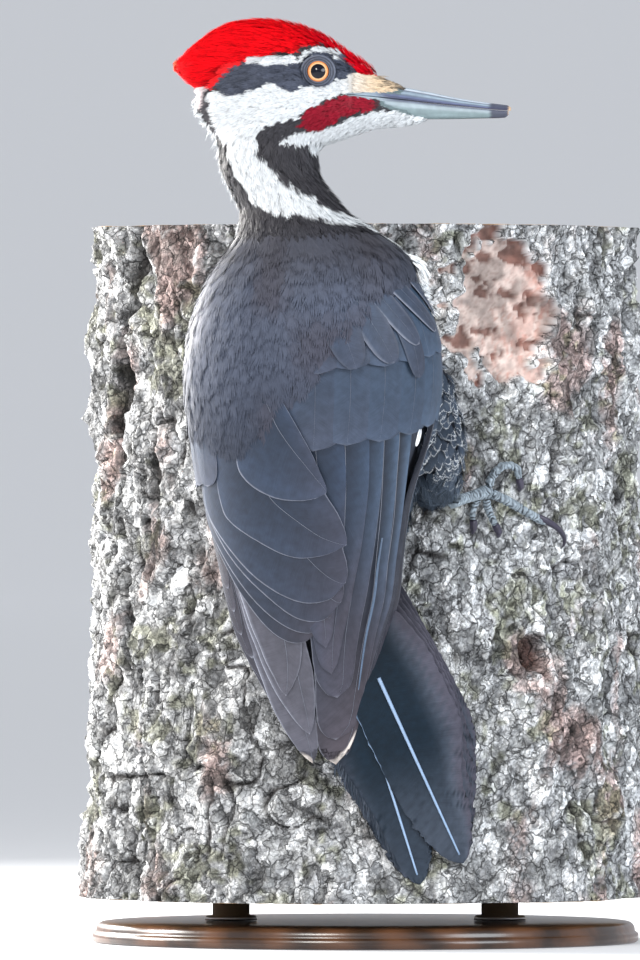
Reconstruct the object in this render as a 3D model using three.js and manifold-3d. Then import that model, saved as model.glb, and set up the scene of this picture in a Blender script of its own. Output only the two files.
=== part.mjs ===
// A life-size museum model of a male pileated woodpecker, clinging to a short cut length of a
// conifer trunk on a plain display stand. Millimetres, +Z up. The trunk's axis is the Z axis and
// the stand's underside is Z = 0. The bird hangs on the trunk's -Y side with its belly to the bark:
// its right side is +X, and its head is turned to look along +X.
import * as THREE from "three";
import { mergeVertices } from "three/addons/utils/BufferGeometryUtils.js";
import Module from "manifold-3d";

const wasm = await Module();
wasm.setup();

// ---------------------------------------------------------------- driving dimensions
const GAP = 0.3; // clearance left where two pieces meet
const FLATNESS = 0.04; // slivers left by the cuts are merged within this

const TRUNK = { radius: 130, taper: 4, bottom: 22, top: 345, around: 48, rows: 6 };
const STAND = { radius: 132, thickness: 10, edge: 2.5, rodRadius: 9, rodSpacing: 130 };

const HEAD_Y = -208; // the head's own midplane, as it is turned across the body
const EYE = { x: -22.9, z: 414.7, radius: 6.6, spread: 15.2 };
const BILL = { base: 3, tip: 68.3, gape: 403.6, drop: 7.2 };

// The trunk of the body and the neck, bottom to top: height, centre x and y, half width, half depth.
const BODY = [
  [160, -7, -164, 13, 6],
  [170, -8, -167, 20, 12],
  [184, -10, -170, 28, 21],
  [202, -14, -175, 37, 31],
  [225, -19, -182, 46, 41],
  [250, -23, -188, 54, 47.5],
  [275, -24.5, -194, 59, 50],
  [298, -25, -198, 56.5, 47.5],
  [317, -25.5, -201, 49, 42.5],
  [331, -26, -203, 40.5, 37],
  [344, -29.5, -205, 30.5, 29.5],
  [354, -38, -206, 25.5, 25],
  [363, -44, -207, 24.4, 23],
  [374, -46, -208, 23.2, 22],
  [386, -48.5, -208, 24, 21.5],
  [397, -50, -208, 20, 19],
];
const NECK_CUT = 341; // height of the thin cut between trunk and neck

// The outer surface of the folded wings, in the same columns.
const WING_FORM = [
  [84, -18.5, -157, 7.5, 5],
  [100, -21, -159, 16.2, 8],
  [120, -23.6, -162, 26.3, 13],
  [148, -26.7, -167, 38, 22],
  [167, -26.4, -169.5, 43.5, 28],
  [186, -27, -172, 46.6, 35],
  [214, -28, -178, 52, 43],
  [247, -25.5, -187.5, 59.6, 49.5],
  [275, -24.6, -194, 62.3, 51.5],
  [298, -25, -198, 58.6, 48.5],
  [317, -25.6, -201, 50.5, 43.5],
  [331, -25.5, -203, 41.5, 38],
];

// Each wing is three overlapping layers of feathers. A row gives height, then the angle of the
// layer's outer and inner edge round the body: 0 is the middle of the back, + is to the right.
const WINGS = {
  left: {
    coverts: {
      rows: [[322, -98, -66], [300, -104, -56], [272, -106, -44], [246, -104, -30], [222, -98, -8]],
      depth: [0, 2], feathers: 6, scallop: 5, slant: -14,
    },
    secondaries: {
      rows: [[300, -96, -62], [262, -98, -40], [232, -94, -14], [206, -86, 14], [176, -70, 20], [152, -62, -2]],
      depth: [2.9, 4.2], feathers: 5, scallop: 6, slant: 16,
    },
    primaries: {
      rows: [[262, -92, -48], [225, -90, -20], [190, -76, -8], [150, -60, -10], [118, -60, -4], [95, -58, -12]],
      depth: [5.3, 6.4], feathers: 4, scallop: 5, slant: 8,
    },
  },
  right: {
    coverts: {
      rows: [[326, 94, 26], [300, 102, 14], [276, 104, 4], [250, 100, 4], [240, 94, 8]],
      depth: [0, 2], feathers: 6, scallop: 4, slant: 6,
    },
    secondaries: {
      rows: [[304, 92, 24], [262, 94, 8], [228, 90, 10], [200, 80, 25], [168, 66, 14], [128, 55, 2]],
      depth: [2.9, 4.2], feathers: 5, scallop: 6, slant: 4,
    },
    primaries: {
      rows: [[262, 88, 20], [225, 88, 24], [190, 76, 30], [150, 60, -2], [118, 60, 2], [93, 58, -4]],
      depth: [5.3, 6.4], feathers: 4, scallop: 5, slant: -6,
    },
  },
};
const WING_STACK = 6.4; // thickness of the three layers together
const WING_PITCH = 20; // height between the bends of a layer
const WING_EDGE = 0.5; // least height of a facet at a layer's lower edge

// The head without its crest, nape to bill: distance along x, centre height, half height, half width.
const HEAD = [
  [-81, 402, 6, 6],
  [-77, 402, 14, 11],
  [-69, 402.5, 21.5, 16],
  [-56, 403, 26.5, 19.6],
  [-40, 403.8, 28.2, 21.6],
  [-23, 403.8, 26.6, 20.6],
  [-9, 402, 20.4, 17],
  [3, 400.4, 14.8, 12.4],
  [13, 399.6, 11, 9.6],
  [20, 399.4, 8, 7.8],
];
// The red crest: distance along x, lower edge, top edge, half width at the lower edge.
const CREST = [
  [6, 411.5, 414.8, 5],
  [-2, 413.5, 420.5, 9.5],
  [-12, 416.5, 428.6, 13.2],
  [-24, 420.5, 435.6, 15.6],
  [-40, 420.5, 440.3, 17.4],
  [-54, 418, 441, 17],
  [-66, 412, 438.8, 14.6],
  [-77, 406.5, 432.4, 10.6],
  [-86, 411, 425, 6],
  [-91.5, 416.2, 419.4, 1.6],
];

// Tail feathers: each side's middle one comes first, is the widest and lies outermost.
const TAIL = {
  perSide: 5, width: 17, narrower: 1.7, thickness: 0.6, layer: 1.6, rootZ: 184, rootY: -175, rest: 1.4,
  right: { x: -19, step: 4.5, angle: 24.5, turn: 1.2, length: 157, shorter: 13 },
  left: { x: -16.5, step: -4, angle: 16, turn: -1.8, length: 160, shorter: 20 },
};

// Legs: hip, heel and foot centre, with the foot given by its angle round the trunk and its height.
const LEGS = {
  right: { hip: [25, -168, 256], heel: [41, -150, 213], foot: [25.2, 217.5], turn: 1, spread: 1 },
  left: { hip: [-58, -168, 256], heel: [-64, -149, 216], foot: [-20, 225], turn: -1, spread: 0.75 },
};
// Toes as [angle round the trunk, height, lift off the bark] from the foot centre, for the right foot.
const TOES = {
  outer: { path: [[0, 0, 5], [4.6, -3.5, 3.6], [9.6, -9, 2.6], [15.2, -14.5, 2]], radius: 2.8, claw: 13 },
  upper: { path: [[0, 0, 5], [1.2, 7.5, 5.2], [4.2, 13, 5], [7.6, 11, 3.6], [8.4, 6.5, 2]], radius: 2.6, claw: 9 },
  inner: { path: [[0, -1, 4.6], [0.2, -6, 3.8], [1.4, -11, 2.8], [2.7, -15.6, 2]], radius: 2.4, claw: 9 },
  rear: { path: [[-1, -1, 4.4], [-2.6, -6, 3.2], [-3, -10, 2.4], [-2.8, -13.6, 1.8]], radius: 2, claw: 8 },
};
const CLAW_RADIUS = 1.7;

// ---------------------------------------------------------------- small helpers
const vec = (x, y, z) => new THREE.Vector3(x, y, z);
const radians = THREE.MathUtils.degToRad;
const mix = THREE.MathUtils.lerp;
const smooth = THREE.MathUtils.smoothstep;

// Reads a table whose first column rises or falls, along a smooth curve through its rows.
function readTable(table, at) {
  const rows = table[0][0] < table[table.length - 1][0] ? table : [...table].reverse();
  const last = rows.length - 1;
  const place = THREE.MathUtils.clamp(at, rows[0][0], rows[last][0]);
  let i = 0;
  while (i < last - 1 && place > rows[i + 1][0]) i += 1;
  const t = (place - rows[i][0]) / (rows[i + 1][0] - rows[i][0]);
  const slope = (a, b, k) => (rows[b][k] - rows[a][k]) / (rows[b][0] - rows[a][0]);
  const span = rows[i + 1][0] - rows[i][0];
  return rows[i].slice(1).map((value, n) => {
    const k = n + 1;
    const m0 = slope(Math.max(i - 1, 0), i + 1, k) * span;
    const m1 = slope(i, Math.min(i + 2, last), k) * span;
    const [t2, t3] = [t * t, t * t * t];
    return (
      (2 * t3 - 3 * t2 + 1) * value +
      (t3 - 2 * t2 + t) * m0 +
      (3 * t2 - 2 * t3) * rows[i + 1][k] +
      (t3 - t2) * m1
    );
  });
}

// A closed surface through rings of equal length, with a fan over each end.
function loft(rings) {
  const count = rings[0].length;
  const points = rings.flat();
  const faces = [];
  for (let r = 0; r + 1 < rings.length; r += 1) {
    for (let k = 0; k < count; k += 1) {
      const [a, b] = [r * count + k, r * count + ((k + 1) % count)];
      faces.push(a, b, a + count, b, b + count, a + count);
    }
  }
  const middle = (ring) => ring.reduce((sum, p) => sum.add(p), vec(0, 0, 0)).divideScalar(count);
  const ends = [
    [middle(rings[0]), 0, true],
    [middle(rings[rings.length - 1]), (rings.length - 1) * count, false],
  ];
  for (const [centre, first, start] of ends) {
    const hub = points.push(centre) - 1;
    for (let k = 0; k < count; k += 1) {
      const [a, b] = [first + k, first + ((k + 1) % count)];
      faces.push(...(start ? [hub, b, a] : [hub, a, b]));
    }
  }
  const geometry = new THREE.BufferGeometry().setFromPoints(points);
  geometry.setIndex(faces);
  return geometry;
}

// A three.js geometry as a solid, turned to face outwards.
function solid(geometry) {
  const bare = geometry.clone();
  bare.deleteAttribute("normal");
  bare.deleteAttribute("uv");
  const merged = mergeVertices(bare, 1e-4);
  const vertProperties = new Float32Array(merged.attributes.position.array);
  const triVerts = new Uint32Array(merged.index.array);
  const made = new wasm.Manifold(new wasm.Mesh({ numProp: 3, vertProperties, triVerts }));
  if (made.volume() >= 0) return made;
  for (let i = 0; i < triVerts.length; i += 3) {
    [triVerts[i + 1], triVerts[i + 2]] = [triVerts[i + 2], triVerts[i + 1]];
  }
  return new wasm.Manifold(new wasm.Mesh({ numProp: 3, vertProperties, triVerts }));
}

const loftSolid = (rings) => solid(loft(rings));

// The largest body of a cut solid, so that no crumb stays behind.
function largest(made) {
  return made.decompose().sort((a, b) => b.volume() - a.volume())[0];
}

function cut(made, ...tools) {
  return largest(tools.reduce((left, tool) => left.subtract(tool), made));
}

function box(low, high) {
  const size = vec(...high).sub(vec(...low));
  const shape = new THREE.BoxGeometry(size.x, size.y, size.z);
  shape.translate(...vec(...low).addScaledVector(size, 0.5).toArray());
  return solid(shape);
}

// ---------------------------------------------------------------- materials
const paint = (color, roughness, metalness = 0) =>
  new THREE.MeshStandardMaterial({ color, roughness, metalness });
const SLATE = paint(0x45484f, 0.62);
const DARK_SLATE = paint(0x33373e, 0.55);
const RED = paint(0xd8141c, 0.7);
const BILL_GREY = paint(0x8d97a3, 0.35);
const EYE_AMBER = paint(0xd9a35c, 0.12);
const LEG_GREY = paint(0x76828c, 0.6);
const CLAW_GREY = paint(0x3b3f46, 0.35);
const BARK = paint(0xa79d98, 0.95);
const STAND_WOOD = paint(0x3a2a20, 0.4);
const STEEL = paint(0x9a9a9c, 0.35, 1);

const part = new THREE.Group();

function addNode(name, made, material) {
  const { vertProperties, triVerts } = largest(made.simplify(FLATNESS)).getMesh();
  const geometry = new THREE.BufferGeometry();
  geometry.setAttribute("position", new THREE.BufferAttribute(new Float32Array(vertProperties), 3));
  geometry.setIndex(new THREE.BufferAttribute(new Uint32Array(triVerts), 1));
  geometry.computeVertexNormals();
  const mesh = new THREE.Mesh(geometry, material);
  mesh.name = name;
  part.add(mesh);
}

// ---------------------------------------------------------------- cut length of trunk
// Distance of the bark from the axis: long plates between furrows that wander up the trunk.
function barkRadius(angle, z) {
  const up = (z - TRUNK.bottom) / (TRUNK.top - TRUNK.bottom);
  const flare = 3 * Math.exp(-up * 6);
  const wander = angle + 0.12 * Math.sin(z / 38) + 0.05 * Math.sin(z / 13);
  const plates = 1.5 * Math.sin(9 * wander) + 1.1 * Math.sin(17 * wander + z / 45);
  const oval = 2.2 * Math.cos(2 * angle + 0.7);
  return TRUNK.radius + TRUNK.taper * (0.5 - up) + flare + plates + oval;
}

// A point on or above the bark: angle in degrees from -Y towards +X.
function onBark(degrees, z, lift) {
  const angle = radians(degrees);
  const reach = barkRadius(angle, z) + lift;
  return vec(Math.sin(angle) * reach, -Math.cos(angle) * reach, z);
}

function trunkSolid(grow) {
  const rings = [];
  for (let r = 0; r <= TRUNK.rows; r += 1) {
    const z = mix(TRUNK.bottom, TRUNK.top, r / TRUNK.rows);
    const ring = [];
    for (let k = 0; k < TRUNK.around; k += 1) ring.push(onBark((360 * k) / TRUNK.around, z, grow));
    rings.push(ring);
  }
  return loftSolid(rings);
}

// ---------------------------------------------------------------- display stand
function standBase() {
  const { radius, thickness, edge } = STAND;
  const profile = [
    new THREE.Vector2(0, 0),
    new THREE.Vector2(radius, 0),
    new THREE.Vector2(radius, thickness - edge),
    new THREE.Vector2(radius - edge, thickness),
    new THREE.Vector2(0, thickness),
  ];
  return solid(new THREE.LatheGeometry(profile, 48).rotateX(Math.PI / 2));
}

function standRod(side) {
  const low = STAND.thickness + GAP;
  const high = TRUNK.bottom - GAP;
  const rod = new THREE.CylinderGeometry(STAND.rodRadius, STAND.rodRadius, high - low, 20);
  rod.rotateX(Math.PI / 2);
  rod.translate((side * STAND.rodSpacing) / 2, 0, (low + high) / 2);
  return solid(rod);
}

// ---------------------------------------------------------------- trunk of the body and neck
// A point at a height and an angle round a form (BODY or WING_FORM), moved in by depth.
function roundForm(form, degrees, z, depth) {
  const [x, y, width, reach] = readTable(form, z);
  const angle = radians(degrees);
  return vec(
    x + (width - depth) * Math.sin(angle),
    y - (reach - depth) * Math.cos(angle),
    z,
  );
}

function bodySolid(grow) {
  const rings = [];
  const low = BODY[0][0];
  const high = BODY[BODY.length - 1][0];
  const [steps, around] = [15, 18];
  for (let r = 0; r <= steps; r += 1) {
    const z = mix(low, high, r / steps);
    const ring = [];
    for (let k = 0; k < around; k += 1) ring.push(roundForm(BODY, (360 * k) / around, z, -grow));
    rings.push(ring);
  }
  return loftSolid(rings);
}

// ---------------------------------------------------------------- head, crest, bill and eyes
function headSolid(grow) {
  const rings = [];
  const [steps, around] = [11, 16];
  for (let r = 0; r <= steps; r += 1) {
    const x = mix(HEAD[0][0] - grow, HEAD[HEAD.length - 1][0] + grow, r / steps);
    const [z, height, width] = readTable(HEAD, x);
    const ring = [];
    for (let k = 0; k < around; k += 1) {
      const angle = (2 * Math.PI * k) / around;
      // The crown is narrower than the cheeks.
      const narrow = 1 - 0.12 * Math.max(Math.sin(angle), 0);
      const y = (width + grow) * Math.cos(angle) * narrow;
      ring.push(vec(x, HEAD_Y + y, z + (height + grow) * Math.sin(angle)));
    }
    rings.push(ring);
  }
  return loftSolid(rings);
}

function crestSolid(grow) {
  const rings = [];
  const steps = 11;
  for (let r = 0; r <= steps; r += 1) {
    const x = mix(CREST[0][0] + grow, CREST[CREST.length - 1][0] - grow, r / steps);
    const [low, high, width] = readTable(CREST, x);
    const ring = [];
    for (let k = 0; k < 8; k += 1) {
      // A gothic arch over a flat sole.
      const angle = (Math.PI * k) / 7;
      const y = (width + grow) * Math.cos(angle) * (0.55 + 0.45 * Math.abs(Math.cos(angle)));
      ring.push(vec(x, HEAD_Y + y, mix(low - grow, high + grow, Math.sin(angle) ** 0.8)));
    }
    rings.push(ring);
  }
  return loftSolid(rings);
}

// Half of the bill, above (side 1) or below (side -1) the gape.
function billSolid(side, grow) {
  const rings = [];
  const steps = 7;
  for (let r = 0; r <= steps; r += 1) {
    const t = r / steps;
    const x = mix(BILL.base - 8 - grow, BILL.tip - (side < 0 ? 1.5 : 0) + grow, t);
    const gape = BILL.gape - BILL.drop * t;
    const height = side > 0 ? mix(6.4, 2.6, t ** 0.9) : mix(8.6, 2.1, t ** 0.72);
    const width = mix(7.6, 1.5, t ** 0.8);
    const ring = [];
    for (let k = 0; k < 8; k += 1) {
      const angle = (Math.PI * k) / 7;
      const y = (width + grow) * Math.cos(angle);
      const rise = (height + 2 * grow) * Math.sin(angle) ** (side > 0 ? 1.15 : 0.85);
      ring.push(vec(x, HEAD_Y + y, gape + side * (GAP / 2 - grow + rise)));
    }
    rings.push(ring);
  }
  return loftSolid(rings);
}

function eyeSolid(side, grow) {
  const ball = new THREE.SphereGeometry(EYE.radius + grow, 12, 7);
  ball.rotateX(Math.PI / 2);
  ball.translate(EYE.x, HEAD_Y + side * EYE.spread, EYE.z);
  return solid(ball);
}

// ---------------------------------------------------------------- wings
// How deep a layer lies under the wing's form at a height: the lower layers rise to the surface
// once the layers over them have ended.
function layerDepth(layer, z) {
  if (layer === WINGS.left.coverts || layer === WINGS.right.coverts) return 0;
  const overCoverts = 1 - smooth(z, 196, 216);
  if (layer === WINGS.left.secondaries || layer === WINGS.right.secondaries) return -2.7 * overCoverts;
  return -2.7 * overCoverts - 2.2 * (1 - smooth(z, 98, 116));
}

// One layer of feathers: a curved plate with a scalloped lower edge, a point for each feather.
function wingLayer(layer) {
  const across = layer.feathers * 2;
  const first = layer.rows[0][0];
  const end = layer.rows[layer.rows.length - 1][0];
  // All layers bend at the same heights, so that their facets stay clear of each other.
  const levels = [first];
  const lowest = end - Math.abs(layer.slant) - layer.scallop;
  for (let z = Math.ceil(first / WING_PITCH - 1) * WING_PITCH; z > lowest; z -= WING_PITCH) levels.push(z);
  const sheet = (inner) => {
    const grid = [];
    for (let i = 0; i <= levels.length; i += 1) {
      const row = [];
      for (let j = 0; j <= across; j += 1) {
        const a = j / across;
        const tip = j % 2 ? -layer.scallop : layer.scallop;
        const low = end + layer.slant * (a - 0.5) * 2 + tip;
        const spare = (levels.length - i) * WING_EDGE;
        const z = Math.max(levels[i] ?? low, low + spare);
        const [outer, inside] = readTable(layer.rows, z);
        const thin = 1 - 0.55 * smooth(first - z, (first - end) / 2, first - end);
        const outside = layer.depth[0] + layerDepth(layer, z);
        const depth = outside + (inner ? (layer.depth[1] - layer.depth[0]) * thin : 0);
        row.push(roundForm(WING_FORM, mix(outer, inside, a), z, depth));
      }
      grid.push(row);
    }
    return grid;
  };
  return solid(plate(sheet(false), sheet(true)));
}

// Two grids of points as the faces of one closed plate.
function plate(top, under) {
  const [rows, columns] = [top.length, top[0].length];
  const points = [...top.flat(), ...under.flat()];
  const at = (side, i, j) => side * rows * columns + i * columns + j;
  const faces = [];
  const quad = (a, b, c, d) => faces.push(a, b, c, a, c, d);
  for (let i = 0; i + 1 < rows; i += 1) {
    for (let j = 0; j + 1 < columns; j += 1) {
      quad(at(0, i, j), at(0, i + 1, j), at(0, i + 1, j + 1), at(0, i, j + 1));
      quad(at(1, i, j), at(1, i, j + 1), at(1, i + 1, j + 1), at(1, i + 1, j));
    }
    quad(at(0, i, 0), at(1, i, 0), at(1, i + 1, 0), at(0, i + 1, 0));
    quad(at(0, i + 1, columns - 1), at(1, i + 1, columns - 1), at(1, i, columns - 1), at(0, i, columns - 1));
  }
  for (let j = 0; j + 1 < columns; j += 1) {
    quad(at(0, 0, j + 1), at(1, 0, j + 1), at(1, 0, j), at(0, 0, j));
    quad(at(0, rows - 1, j), at(1, rows - 1, j), at(1, rows - 1, j + 1), at(0, rows - 1, j + 1));
  }
  const geometry = new THREE.BufferGeometry().setFromPoints(points);
  geometry.setIndex(faces);
  return geometry;
}

// The room that a folded wing takes out of the body: as wide as the widest layer at each height.
function wingPocket(side) {
  const layers = Object.values(WINGS[side]);
  const margin = side === "left" ? -1.2 : 1.2;
  const top = Math.max(...layers.map((layer) => layer.rows[0][0])) + 1;
  const bottom = BODY[0][0] - 2;
  const edge = (z, column) => {
    const held = layers.filter((layer) => z <= layer.rows[0][0] + 1);
    const angles = held.map((layer) => readTable(layer.rows, z)[column]);
    const widest = (side === "left") === (column === 0) ? Math.min : Math.max;
    return widest(...angles) + (column === 0 ? margin : -margin);
  };
  const sheet = (depth) => {
    const grid = [];
    for (let i = 0; i <= 8; i += 1) {
      const z = mix(top, bottom, i / 8);
      const row = [];
      for (let j = 0; j <= 6; j += 1) {
        row.push(roundForm(WING_FORM, mix(edge(z, 0), edge(z, 1), j / 6), z, depth));
      }
      grid.push(row);
    }
    return grid;
  };
  return solid(plate(sheet(-8), sheet(WING_STACK + 3 * GAP)));
}

// ---------------------------------------------------------------- tail
// The sheet that a layer of the tail follows: flat at the rump, bowed down to the bark at its end.
function onTail(x, z, layer) {
  const run = (TAIL.rootZ - z) / Math.cos(radians(20));
  const left = (TAIL.right.length - run) / (TAIL.right.shorter / 2);
  const above = TAIL.rest + TAIL.layer * Math.max(Math.max(left, 0) + 1 - layer, 0);
  const bark = onBark(THREE.MathUtils.radToDeg(Math.asin(x / TRUNK.radius)), z, 0).y - above;
  const bow = 1 - (1 - THREE.MathUtils.clamp(run / TAIL.right.length, 0, 1)) ** 1.35;
  return vec(x, mix(TAIL.rootY + TAIL.layer * layer, bark, bow), z);
}

// One stiff tail feather: a bowed plate with a raised shaft, narrowing to its tip.
function tailFeather(side, index) {
  const fan = TAIL[side];
  const layer = 2 * index + (side === "left" ? 1 : 0);
  const angle = radians(fan.angle + fan.turn * index);
  const length = fan.length - fan.shorter * index;
  const rings = [];
  const steps = 7;
  for (let r = 0; r <= steps; r += 1) {
    const t = r / steps;
    const broad = TAIL.width - TAIL.narrower * index;
    const width = broad * Math.min(0.45 + 2.6 * t, 1) * Math.max(1 - t ** 5, 0.02) ** 0.7;
    const half = TAIL.thickness / 2;
    const place = (u, up) => {
      const along = t * length;
      const x = fan.x + fan.step * index + along * Math.sin(angle) + u * width * Math.cos(angle);
      const z = TAIL.rootZ - along * Math.cos(angle) + u * width * Math.sin(angle);
      return onTail(x, z, layer).add(vec(0, up, 0));
    };
    rings.push([place(-1, half), place(-1, -half), place(0, -half - 0.3), place(1, -half), place(1, half), place(0, half)]);
  }
  return loftSolid(rings);
}

// ---------------------------------------------------------------- legs
// A round limb along a smooth curve, its radius read from a list spread evenly along it.
function limb(points, radii, grow, around = 10, steps = 8) {
  const curve = new THREE.CatmullRomCurve3(points, false, "centripetal");
  const rings = [];
  let across = null;
  for (let r = 0; r <= steps; r += 1) {
    const t = r / steps;
    const centre = curve.getPointAt(t);
    const tangent = curve.getTangentAt(t);
    if (!across) across = vec(0, -1, 0.2);
    across = across.clone().addScaledVector(tangent, -across.dot(tangent)).normalize();
    const other = tangent.clone().cross(across);
    const spot = t * (radii.length - 1);
    const i = Math.min(Math.floor(spot), radii.length - 2);
    const radius = mix(radii[i], radii[i + 1], spot - i) + grow;
    const ring = [];
    for (let k = 0; k < around; k += 1) {
      const angle = (2 * Math.PI * k) / around;
      ring.push(
        centre
          .clone()
          .addScaledVector(across, radius * Math.cos(angle))
          .addScaledVector(other, radius * Math.sin(angle)),
      );
    }
    rings.push(ring);
  }
  return loftSolid(rings);
}

function thighSolid(leg, grow) {
  const hip = vec(...leg.hip);
  const heel = vec(...leg.heel);
  const middle = hip.clone().lerp(heel, 0.5).add(vec(3 * leg.turn, 0, -4));
  return limb([hip, middle, heel], [19, 21, 16, 10, 5], grow, 12, 6);
}

function footCentre(leg) {
  return onBark(leg.foot[0], leg.foot[1], 5);
}

function tarsusSolid(leg, grow) {
  const heel = vec(...leg.heel);
  const foot = footCentre(leg);
  const ends = foot.clone().sub(heel).normalize();
  return limb([heel.addScaledVector(ends, -1), foot.addScaledVector(ends, 1)], [3.6, 2.9, 2.9, 4], grow, 8, 4);
}

function toePath(leg, toe) {
  return toe.path.map(([turn, rise, lift]) =>
    onBark(leg.foot[0] + turn * leg.turn * leg.spread, leg.foot[1] + rise, lift + toe.radius * 0.45),
  );
}

function toeSolid(leg, toe, grow) {
  const r = toe.radius;
  return limb(toePath(leg, toe), [r * 1.05, r * 0.92, r, r * 0.84, r * 0.92, r * 0.7], grow, 7, 6);
}

// A claw hooks from the toe's end down into the bark.
function clawSolid(leg, toe, grow) {
  const path = toePath(leg, toe);
  const end = path[path.length - 1];
  const run = end.clone().sub(path[path.length - 2]).normalize();
  const inward = vec(-end.x, -end.y, 0).normalize();
  const knee = end.clone().addScaledVector(run, toe.claw * 0.55).addScaledVector(inward, -0.4);
  const tip = end.clone().addScaledVector(run, toe.claw * 0.8).addScaledVector(inward, toe.claw * 0.42);
  const start = end.clone().addScaledVector(run, -1.2);
  const radii = [CLAW_RADIUS, CLAW_RADIUS * 0.95, CLAW_RADIUS * 0.65, 0.22];
  return limb([start, knee, tip], radii, grow, 5, 4);
}

// ---------------------------------------------------------------- assembly
const pockets = { left: wingPocket("left"), right: wingPocket("right") };
const eyesGrown = [eyeSolid(1, GAP), eyeSolid(-1, GAP)];
const billsGrown = [billSolid(1, GAP), billSolid(-1, GAP)];
const headWhole = headSolid(0);
const headGrown = headSolid(GAP);
const crestGrown = crestSolid(GAP);
const wholeBody = bodySolid(0);
const bodyGrown = bodySolid(GAP);
const trunkGrown = trunkSolid(GAP);

const head = cut(headWhole, crestGrown, ...eyesGrown, ...billsGrown);
const above = box([-200, -400, NECK_CUT + GAP / 2], [200, 0, 500]);
const below = box([-200, -400, 0], [200, 0, NECK_CUT - GAP / 2]);
const neck = cut(largest(wholeBody.intersect(above)), headGrown);
const torso = cut(largest(wholeBody.intersect(below)), pockets.left, pockets.right);

addNode("head", head, SLATE);
addNode("crest", cut(crestSolid(0), ...eyesGrown), RED);
addNode("bill_upper", billSolid(1, 0), BILL_GREY);
addNode("bill_lower", billSolid(-1, 0), BILL_GREY);
addNode("eye_right", eyeSolid(-1, 0), EYE_AMBER);
addNode("eye_left", eyeSolid(1, 0), EYE_AMBER);
addNode("neck", neck, SLATE);

for (const [side, leg] of Object.entries(LEGS)) {
  const thigh = cut(thighSolid(leg, 0), bodyGrown, pockets[side]);
  const tarsus = cut(tarsusSolid(leg, 0), thighSolid(leg, GAP), bodyGrown);
  addNode(`thigh_${side}`, thigh, SLATE);
  const taken = [thighSolid(leg, GAP), tarsusSolid(leg, GAP)];
  addNode(`tarsus_${side}`, tarsus, LEG_GREY);
  for (const [name, toe] of Object.entries(TOES)) {
    addNode(`toe_${side}_${name}`, cut(toeSolid(leg, toe, 0), ...taken), LEG_GREY);
    taken.push(toeSolid(leg, toe, GAP));
  }
  for (const [name, toe] of Object.entries(TOES)) {
    addNode(`claw_${side}_${name}`, cut(clawSolid(leg, toe, 0), trunkGrown, ...taken.slice(2)), CLAW_GREY);
  }
}

for (let index = 0; index < TAIL.perSide; index += 1) {
  for (const side of ["right", "left"]) {
    addNode(`tail_${side}_${index + 1}`, cut(tailFeather(side, index), bodyGrown), DARK_SLATE);
  }
}

addNode("torso", torso, SLATE);
const taken = [];
for (const side of ["left", "right"]) {
  for (const [name, layer] of Object.entries(WINGS[side])) {
    const made = cut(wingLayer(layer), ...taken.filter((other) => other.side !== side).map((o) => o.made));
    addNode(`wing_${side}_${name}`, made, name === "coverts" ? SLATE : DARK_SLATE);
    taken.push({ side, made: wingLayer(layer) });
  }
}

addNode("perch_trunk", trunkSolid(0), BARK);
addNode("stand_base", standBase(), STAND_WOOD);
addNode("stand_rod_left", standRod(-1), STEEL);
addNode("stand_rod_right", standRod(1), STEEL);

export default part;
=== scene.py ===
# A life-size museum model of a male pileated woodpecker on a cut length of trunk, held by a display
# stand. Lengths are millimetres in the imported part's frame, +Z up: the trunk's axis is the Z axis, the
# stand's underside is Z = 0, the bird hangs on the -Y side and its head looks along +X.
import math
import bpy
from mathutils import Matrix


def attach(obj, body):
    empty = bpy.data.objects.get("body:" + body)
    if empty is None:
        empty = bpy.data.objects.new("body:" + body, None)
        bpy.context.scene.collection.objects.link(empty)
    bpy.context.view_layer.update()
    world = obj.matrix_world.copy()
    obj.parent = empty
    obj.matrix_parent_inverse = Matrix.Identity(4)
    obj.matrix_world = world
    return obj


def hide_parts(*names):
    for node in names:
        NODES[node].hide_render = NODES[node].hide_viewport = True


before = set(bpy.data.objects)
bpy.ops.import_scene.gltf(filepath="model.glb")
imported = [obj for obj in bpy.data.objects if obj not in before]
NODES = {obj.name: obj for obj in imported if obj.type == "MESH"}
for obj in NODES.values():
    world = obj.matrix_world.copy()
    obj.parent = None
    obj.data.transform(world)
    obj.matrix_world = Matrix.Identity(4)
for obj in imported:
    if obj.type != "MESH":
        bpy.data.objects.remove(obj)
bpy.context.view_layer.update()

from types import SimpleNamespace

import bpy
import numpy as np
from mathutils import Vector
from mathutils.bvhtree import BVHTree

MM = 0.001

# ---------------------------------------------------------------- driving dimensions
TRUNK = {"radius": 130, "taper": 4, "bottom": 22, "top": 345}
STAND = {"radius": 132, "thickness": 10, "rod_radius": 9, "rod_spacing": 130}
HEAD_Y = -208
EYE = {"x": -22.9, "z": 414.7, "radius": 6.6, "spread": 15.2}
# The bill, back to front: distance ahead of the eye, then the heights of the culmen, the gape and the keel
# above the eye, and the half width. Behind the lores it flares into the corners of the gape.
BILL_FORM = [
    (13, -9.4, -10.5, -12.2, 16.8),
    (20, -7.2, -11.1, -16.4, 14.6),
    (27, -5.6, -11.7, -19.8, 11.6),
    (34, -6.0, -12.4, -21.2, 8.8),
    (41, -7.1, -13.1, -21.8, 7.2),
    (53, -9.4, -14.5, -22.0, 5.6),
    (66, -12.1, -15.9, -21.9, 4.2),
    (78, -14.0, -17.1, -21.6, 3.3),
    (86, -15.0, -17.8, -21.4, 2.9),
    (90.6, -15.6, -18.1, -20.9, 2.2),
]

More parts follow.
